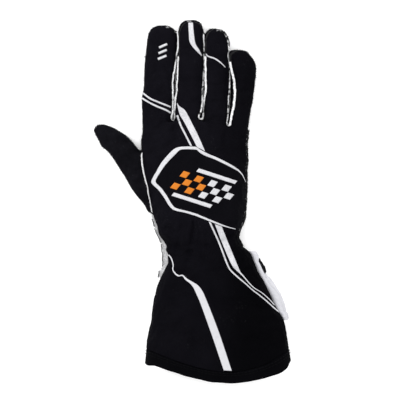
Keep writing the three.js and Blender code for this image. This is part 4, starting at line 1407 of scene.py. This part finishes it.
# the allowance splays out at the wrist: places along it and its reach there
wristSpread = [(-32.0, 1.6), (-40.5, 3.1), (-44.2, 2.6), (-47.2, 2.4), (-50.6, 1.9), (-53.6, 2.5),
               (-56.2, 3.5),
               (-59.2, 4.4), (-62.9, 4.6), (-66.6, 4.3), (-70.4, 5.2), (-74.1, 4.7), (-76.4, 4.0),
               (-79.3, 4.2), (-82.0, 4.6), (-85.3, 3.4), (-88.5, 2.6)]
foot, outwards = sideFoot([(-39.0, -32.0), (-30.0, -58.0), (-34.0, -88.0)], -1, 0.5, 0.8)
reaches = []
for p in foot:
    k = next(i for i in range(len(wristSpread) - 1) if p.y >= wristSpread[i + 1][0])
    (y0, r0), (y1, r1) = wristSpread[k], wristSpread[k + 1]
    reaches.append(lerp(r0, r1, (y0 - p.y) / (y0 - y1)) + 0.5)
seamEdge("seam_edge_wrist", foot, outwards,
         {"heights": [r * (1 + 0.2 * wobble(58, i * 0.55)) for i, r in enumerate(reaches)],
          "thick": [1.2] * len(foot), "whiteFrom": 0.0, "fringe": 6.0, "yarn": 1.7}, 57, [1.0] * len(foot))

# grey overlock thread along its edge, with loose ends
bm, white = newYarns()
dice = random.Random(5)
overlockPast = 0.35
for i in range(4, len(foot) - 3):
    if wobble(77, i * 0.09) > 0.22:
        continue
    edge = foot[i] + outwards[i] * (reaches[i] + overlockPast)
    after = foot[i + 2] + outwards[i + 2] * (reaches[i + 2] + overlockPast)
    sway = Vector((0.4 * wobble(78, i * 0.4), 0, 1.7 + 0.3 * wobble(79, i * 0.5)))
    reach = (after - edge) * 1.15 + Vector((0.5 * wobble(80, i * 0.8), 0, 0))
    addYarn(bm, edge + sway, reach, 0.55, white, 0.0)
dress(meshObject("wrist_overlock", bm), greyThread)
bm, white = newYarns()
for _ in range(16):
    root, _ = onTop(-26.2 + dice.uniform(-0.6, 0.8), -60.0 - dice.uniform(0, 4.5))
    reach = Vector((dice.uniform(0.4, 1.6), dice.uniform(-0.7, 0.9), dice.uniform(0.0, 0.5)))
    addYarn(bm, root, reach.normalized() * dice.uniform(1.0, 2.4), 0.13, white)
# frayed white ends at three fingertips
for x, y, spread, number in ((-25.2, 138.2, 1.6, 14), (-5.9, 143.4, 2.0, 22), (20.9, 135.2, 2.2, 20)):
    for _ in range(number):
        root, _ = onTop(x + dice.uniform(-spread, spread), y - dice.uniform(0, 1.4))
        reach = Vector((dice.uniform(-0.9, 0.9), dice.uniform(0.2, 1.0), dice.uniform(-0.2, 0.6)))
        addYarn(bm, root, reach.normalized() * dice.uniform(0.8, 1.9), 0.13, white)
# and a few pale threads in the outer seam
for _ in range(90):
    y = dice.choice((dice.uniform(-46, -8), dice.uniform(-46, -36), dice.uniform(-8, 42)))
    hit = fromSide(1, y, seamHeight(y) + dice.uniform(-1, 2))
    reach = Vector((dice.uniform(0.1, 1.0), dice.uniform(-1, 1), dice.uniform(-0.3, 0.8)))
    addYarn(bm, hit, reach.normalized() * dice.uniform(0.6, 1.6), 0.11, white)
dress(meshObject("loose_threads", bm), paleThread)

foot, outwards = sideFoot([(45.0, 46.0), (44.0, 0.0), (38.0, -60.0)], 1, 0.5)
count = len(foot)
seamEdge("seam_edge_outer", foot, outwards,
         {"heights": [2.4 + 0.5 * wobble(70, i * 0.2) for i in range(count)], "thick": [1.4] * count,
          "whiteFrom": 1.2, "fringe": 2.6, "yarn": 1.6}, 71, [0.0] * count)

# short dark fibres stand out of the seams round the fingers and the hand
bm, white = newYarns()
dice = random.Random(9)
for v in skin.verts:
    level = seamHeight(v.co.y)
    if abs(v.co.z - level) > 0.8 or abs(v.normal.z) > 0.6 or v.co.y < -48 or dice.random() > 0.8:
        continue
    reach = v.normal + Vector((dice.uniform(-0.7, 0.7), dice.uniform(-0.7, 0.7), dice.uniform(-0.5, 0.7)))
    addYarn(bm, v.co - v.normal * 0.2, reach.normalized() * dice.uniform(0.6, 1.6), 0.13, white, 0.0)
dress(meshObject("seam_fuzz", bm), darkThread)
print("seam edges made")


# ---- cuff hem and label

def hemSection(along, grow):
    section = dict(cuffSection(along))
    section["width"] += 2 * grow
    section["top"] += grow
    return section


def hemWave(p, section, out):
    # the band's mouth waves a little, is rounded at the sides and rises in the middle
    side = abs(p.x - section["x"]) / (section["width"] / 2)
    rough = wobble(5, p.x / 16, p.y / 30, p.z / 16)
    z = max(0.0, p.z + max(0.0, p.z - 6) / 30 * rough * 1.2)
    right = p.x > section["x"]
    corner = max(0.0, (side - (0.93 if right else 0.95)) / 0.06)
    rounded = (2.6 if right else 1.2) * corner ** 2
    sag = 3.2 * smooth((side - 0.55) / 0.35) if right else 2.4 * smooth((side - 0.84) / 0.14)
    y = p.y + out * (rounded - sag + 1.9 * (1 - side ** 2) + 0.5 * wobble(6, p.x / 9, p.z / 20))
    return Vector((p.x + math.copysign(out * (0.6 - 0.8 * corner ** 2), p.x - section["x"]), y, z))


def makeHem():
    bm = bmesh.new()
    profile = []
    for i in range(13):  # outside, from its upper edge down to the fold
        profile.append((lerp(hemStart + 0.002, 0.992, i / 12), 0.3, i == 0))
    for turn in (30, 60, 90, 120, 150):  # round the fold at the mouth
        a = math.radians(turn)
        profile.append((0.992 + 0.008 * math.sin(a), -0.9 + 1.2 * math.cos(a), False))
    for i in range(13):  # inside, back up
        profile.append((lerp(0.992, hemStart + 0.002, i / 12), -2.5, False))
    rings = []
    for along, grow, first in profile:
        section = hemSection(along, grow - (0.4 if first else 0))
        section["bow"] = cuffBow(1.0)
        edges = addRing(bm, section, 180)
        verts = {v for e in edges for v in e.verts}
        for v in verts:
            if grow < 0 and v.co.z < 12:
                v.co.z = max(v.co.z, 2.4)
            v.co = hemWave(v.co, section, (along - hemStart) / (1 - hemStart))
        rings.append(edges)
    for a, b in zip(rings, rings[1:] + rings[:1]):
        bmesh.ops.bridge_loops(bm, edges=a + b)
    bmesh.ops.recalc_face_normals(bm, faces=bm.faces)
    bm.normal_update()
    addClothMap(bm)
    obj = meshObject("cuff_hem", bm)
    return dress(obj, hemCloth, ["cuff_hem"])


makeHem()

# The label's plies, from the wrist's end to the mouth's: how far each stands out of the seam, in
# places along it, how high it leaves the seam, and its droop.
label = {
    # rim: the stretch along the upper ply whose edge gets a grey cord of painted shadow
    "thickness": 0.4, "rim": (0.3, 0.58),
    "plies": [
        {"name": "label", "height": 1.0, "droop": 1.2, "wave": 1, "material": labelSatin, "slot": "label",
         "reach": [(-63.8, 6.8), (-68.0, 6.2), (-73.5, 4.6), (-83.0, 5.0), (-90.5, 4.0), (-95.0, 4.8),
                   (-98.5, 6.8), (-105.0, 7.2), (-112.0, 6.6), (-120.0, 4.8), (-126.0, 4.4)]},
        {"name": "label_under", "height": -0.4, "droop": 2.0, "wave": 2, "material": labelSatin,
         "slot": "label",
         "reach": [(-64.8, 5.6), (-73.5, 3.8), (-82.0, 3.6), (-85.0, 6.6), (-90.0, 8.2), (-97.0, 9.2),
                   (-103.5, 9.8), (-112.0, 9.6), (-119.9, 7.0), (-125.2, 5.4)]},
        {"name": "label_allowance", "height": -1.4, "droop": 1.6, "wave": 3, "material": darkThread,
         "slot": "knit",
         "reach": [(-68.0, 3.0), (-70.3, 6.6), (-75.2, 7.4), (-78.4, 8.2), (-82.2, 7.8), (-85.0, 5.6),
                   (-87.0, 3.0)]},
    ],
}


def makePly(ply):
    bm = bmesh.new()
    reach = ply["reach"]
    rows = round((reach[0][0] - reach[-1][0]) / 0.8)
    bmesh.ops.create_grid(bm, x_segments=12, y_segments=rows, size=0.5)
    rim = {}
    for v in bm.verts:
        s, t = v.co.x + 0.5, v.co.y + 0.5
        y = lerp(reach[0][0], reach[-1][0], t)
        k = next((i for i in range(len(reach) - 1) if y >= reach[i + 1][0]), len(reach) - 2)
        (y0, r0), (y1, r1) = reach[k], reach[k + 1]
        wide = lerp(r0, r1, smooth((y0 - y) / (y0 - y1))) + 0.25 * wobble(ply["wave"] + 60, t * 14)
        z = seamHeight(y)
        hit = fromSide(1, y, z)
        wave = (0.8 * wobble(ply["wave"], t * 5.0, s) + 0.5 * math.sin(t * 8 + ply["wave"])) * s
        rise = ply["height"] * min(1.0, s * 3) + 0.9 * math.sin(s * 2.6) - ply["droop"] * s * s + wave
        v.co = Vector((hit.x - 0.7 + (wide + 0.7) * s, y - 1.2 * s * (0.5 - t), z + rise))
        if s > 0.99:
            rim[t] = v.co.copy()
    bmesh.ops.recalc_face_normals(bm, faces=bm.faces)
    if sum(f.normal.z for f in bm.faces) < 0:
        bmesh.ops.reverse_faces(bm, faces=bm.faces)
    bm.normal_update()
    addClothMap(bm)
    obj = meshObject(ply["name"], bm)
    thicken(obj, "thickness", label["thickness"], 0.0)
    dress(obj, ply["material"], ["label"] if ply["name"] == "label" else [])
    return rim


def makeRimShadow(rim, first, last):
    # painted shadow: a grey cord along a ply's edge, between two places along it, standing in for the
    # shadow the upper ply's edge casts on the ply below
    bm, white = newYarns()
    line = [rim[t] + Vector((-0.1, 0, 0.25)) for t in sorted(rim) if first < t < last]
    for a, b in zip(line, line[1:]):
        addYarn(bm, a, (b - a) * 1.2, 0.3, white)
    dress(meshObject("label_rim_shadow", bm), rimShadowCord)


for ply in label["plies"]:
    rim = makePly(ply)
    if ply["name"] == "label":
        # the upper ply's edge gets a grey cord of painted shadow
        makeRimShadow(rim, *label["rim"])
print("hem and label made")


# ---- stitching

def stitchRow(name, places, normals, pitch, length, radius, material):
    # short rounded stitches along points on a surface
    bm = bmesh.new()
    travelled, last = 0.0, None
    for i in range(1, len(places)):
        travelled += (places[i] - places[i - 1]).length
        if last is not None and travelled - last < pitch:
            continue
        last = travelled
        ahead = (places[i] - places[i - 1]).normalized()
        made = bmesh.ops.create_uvsphere(bm, u_segments=8, v_segments=5, radius=1.0)["verts"]
        bmesh.ops.scale(bm, vec=(radius, radius * 0.8, length / 2), verts=made)
        turn = Vector((0, 0, 1)).rotation_difference(ahead).to_matrix()
        bmesh.ops.rotate(bm, cent=(0, 0, 0), matrix=turn, verts=made)
        bmesh.ops.translate(bm, vec=places[i] + normals[i] * radius * 0.35, verts=made)
    obj = meshObject(name, bm)
    return dress(obj, material)


def hemRow(along, grow, fromTurn, toTurn):
    places, normals = [], []
    section = hemSection(along, grow)
    count = 700
    bow = cuffBow(1.0)
    power = 2 / hand["roundness"]
    for i in range(count + 1):
        a = lerp(fromTurn, toTurn, i / count)
        side = math.copysign(abs(math.cos(a)) ** power, math.cos(a))
        lift = abs(math.sin(a)) ** power
        z = section["seam"] + lift * (section["top"] - section["seam"])
        y = section["y"] + bow * (1 - side * side) * (1 + cuff["bowLean"] * side)
        p = Vector((section["x"] + side * section["width"] / 2, y, z))
        places.append(hemWave(p, section, (along - hemStart) / (1 - hemStart)))
        normals.append(Vector((math.cos(a), 0, math.sin(a))))
    return places, normals


hemStitches = {"rows": (0.86, 0.68), "lift": 0.75, "ends": 0.02, "pitch": 3.1, "length": 2.4,
               "radius": 0.26}
for row, share in enumerate(hemStitches["rows"]):
    ends = hemStitches["ends"]
    places, normals = hemRow(1 - hemShare * share, hemStitches["lift"], ends, math.pi - ends)
    stitchRow("hem_stitches_%d" % (row + 1), places, normals, hemStitches["pitch"],
              hemStitches["length"], hemStitches["radius"], darkThread)
print("stitches made")

skin.free()
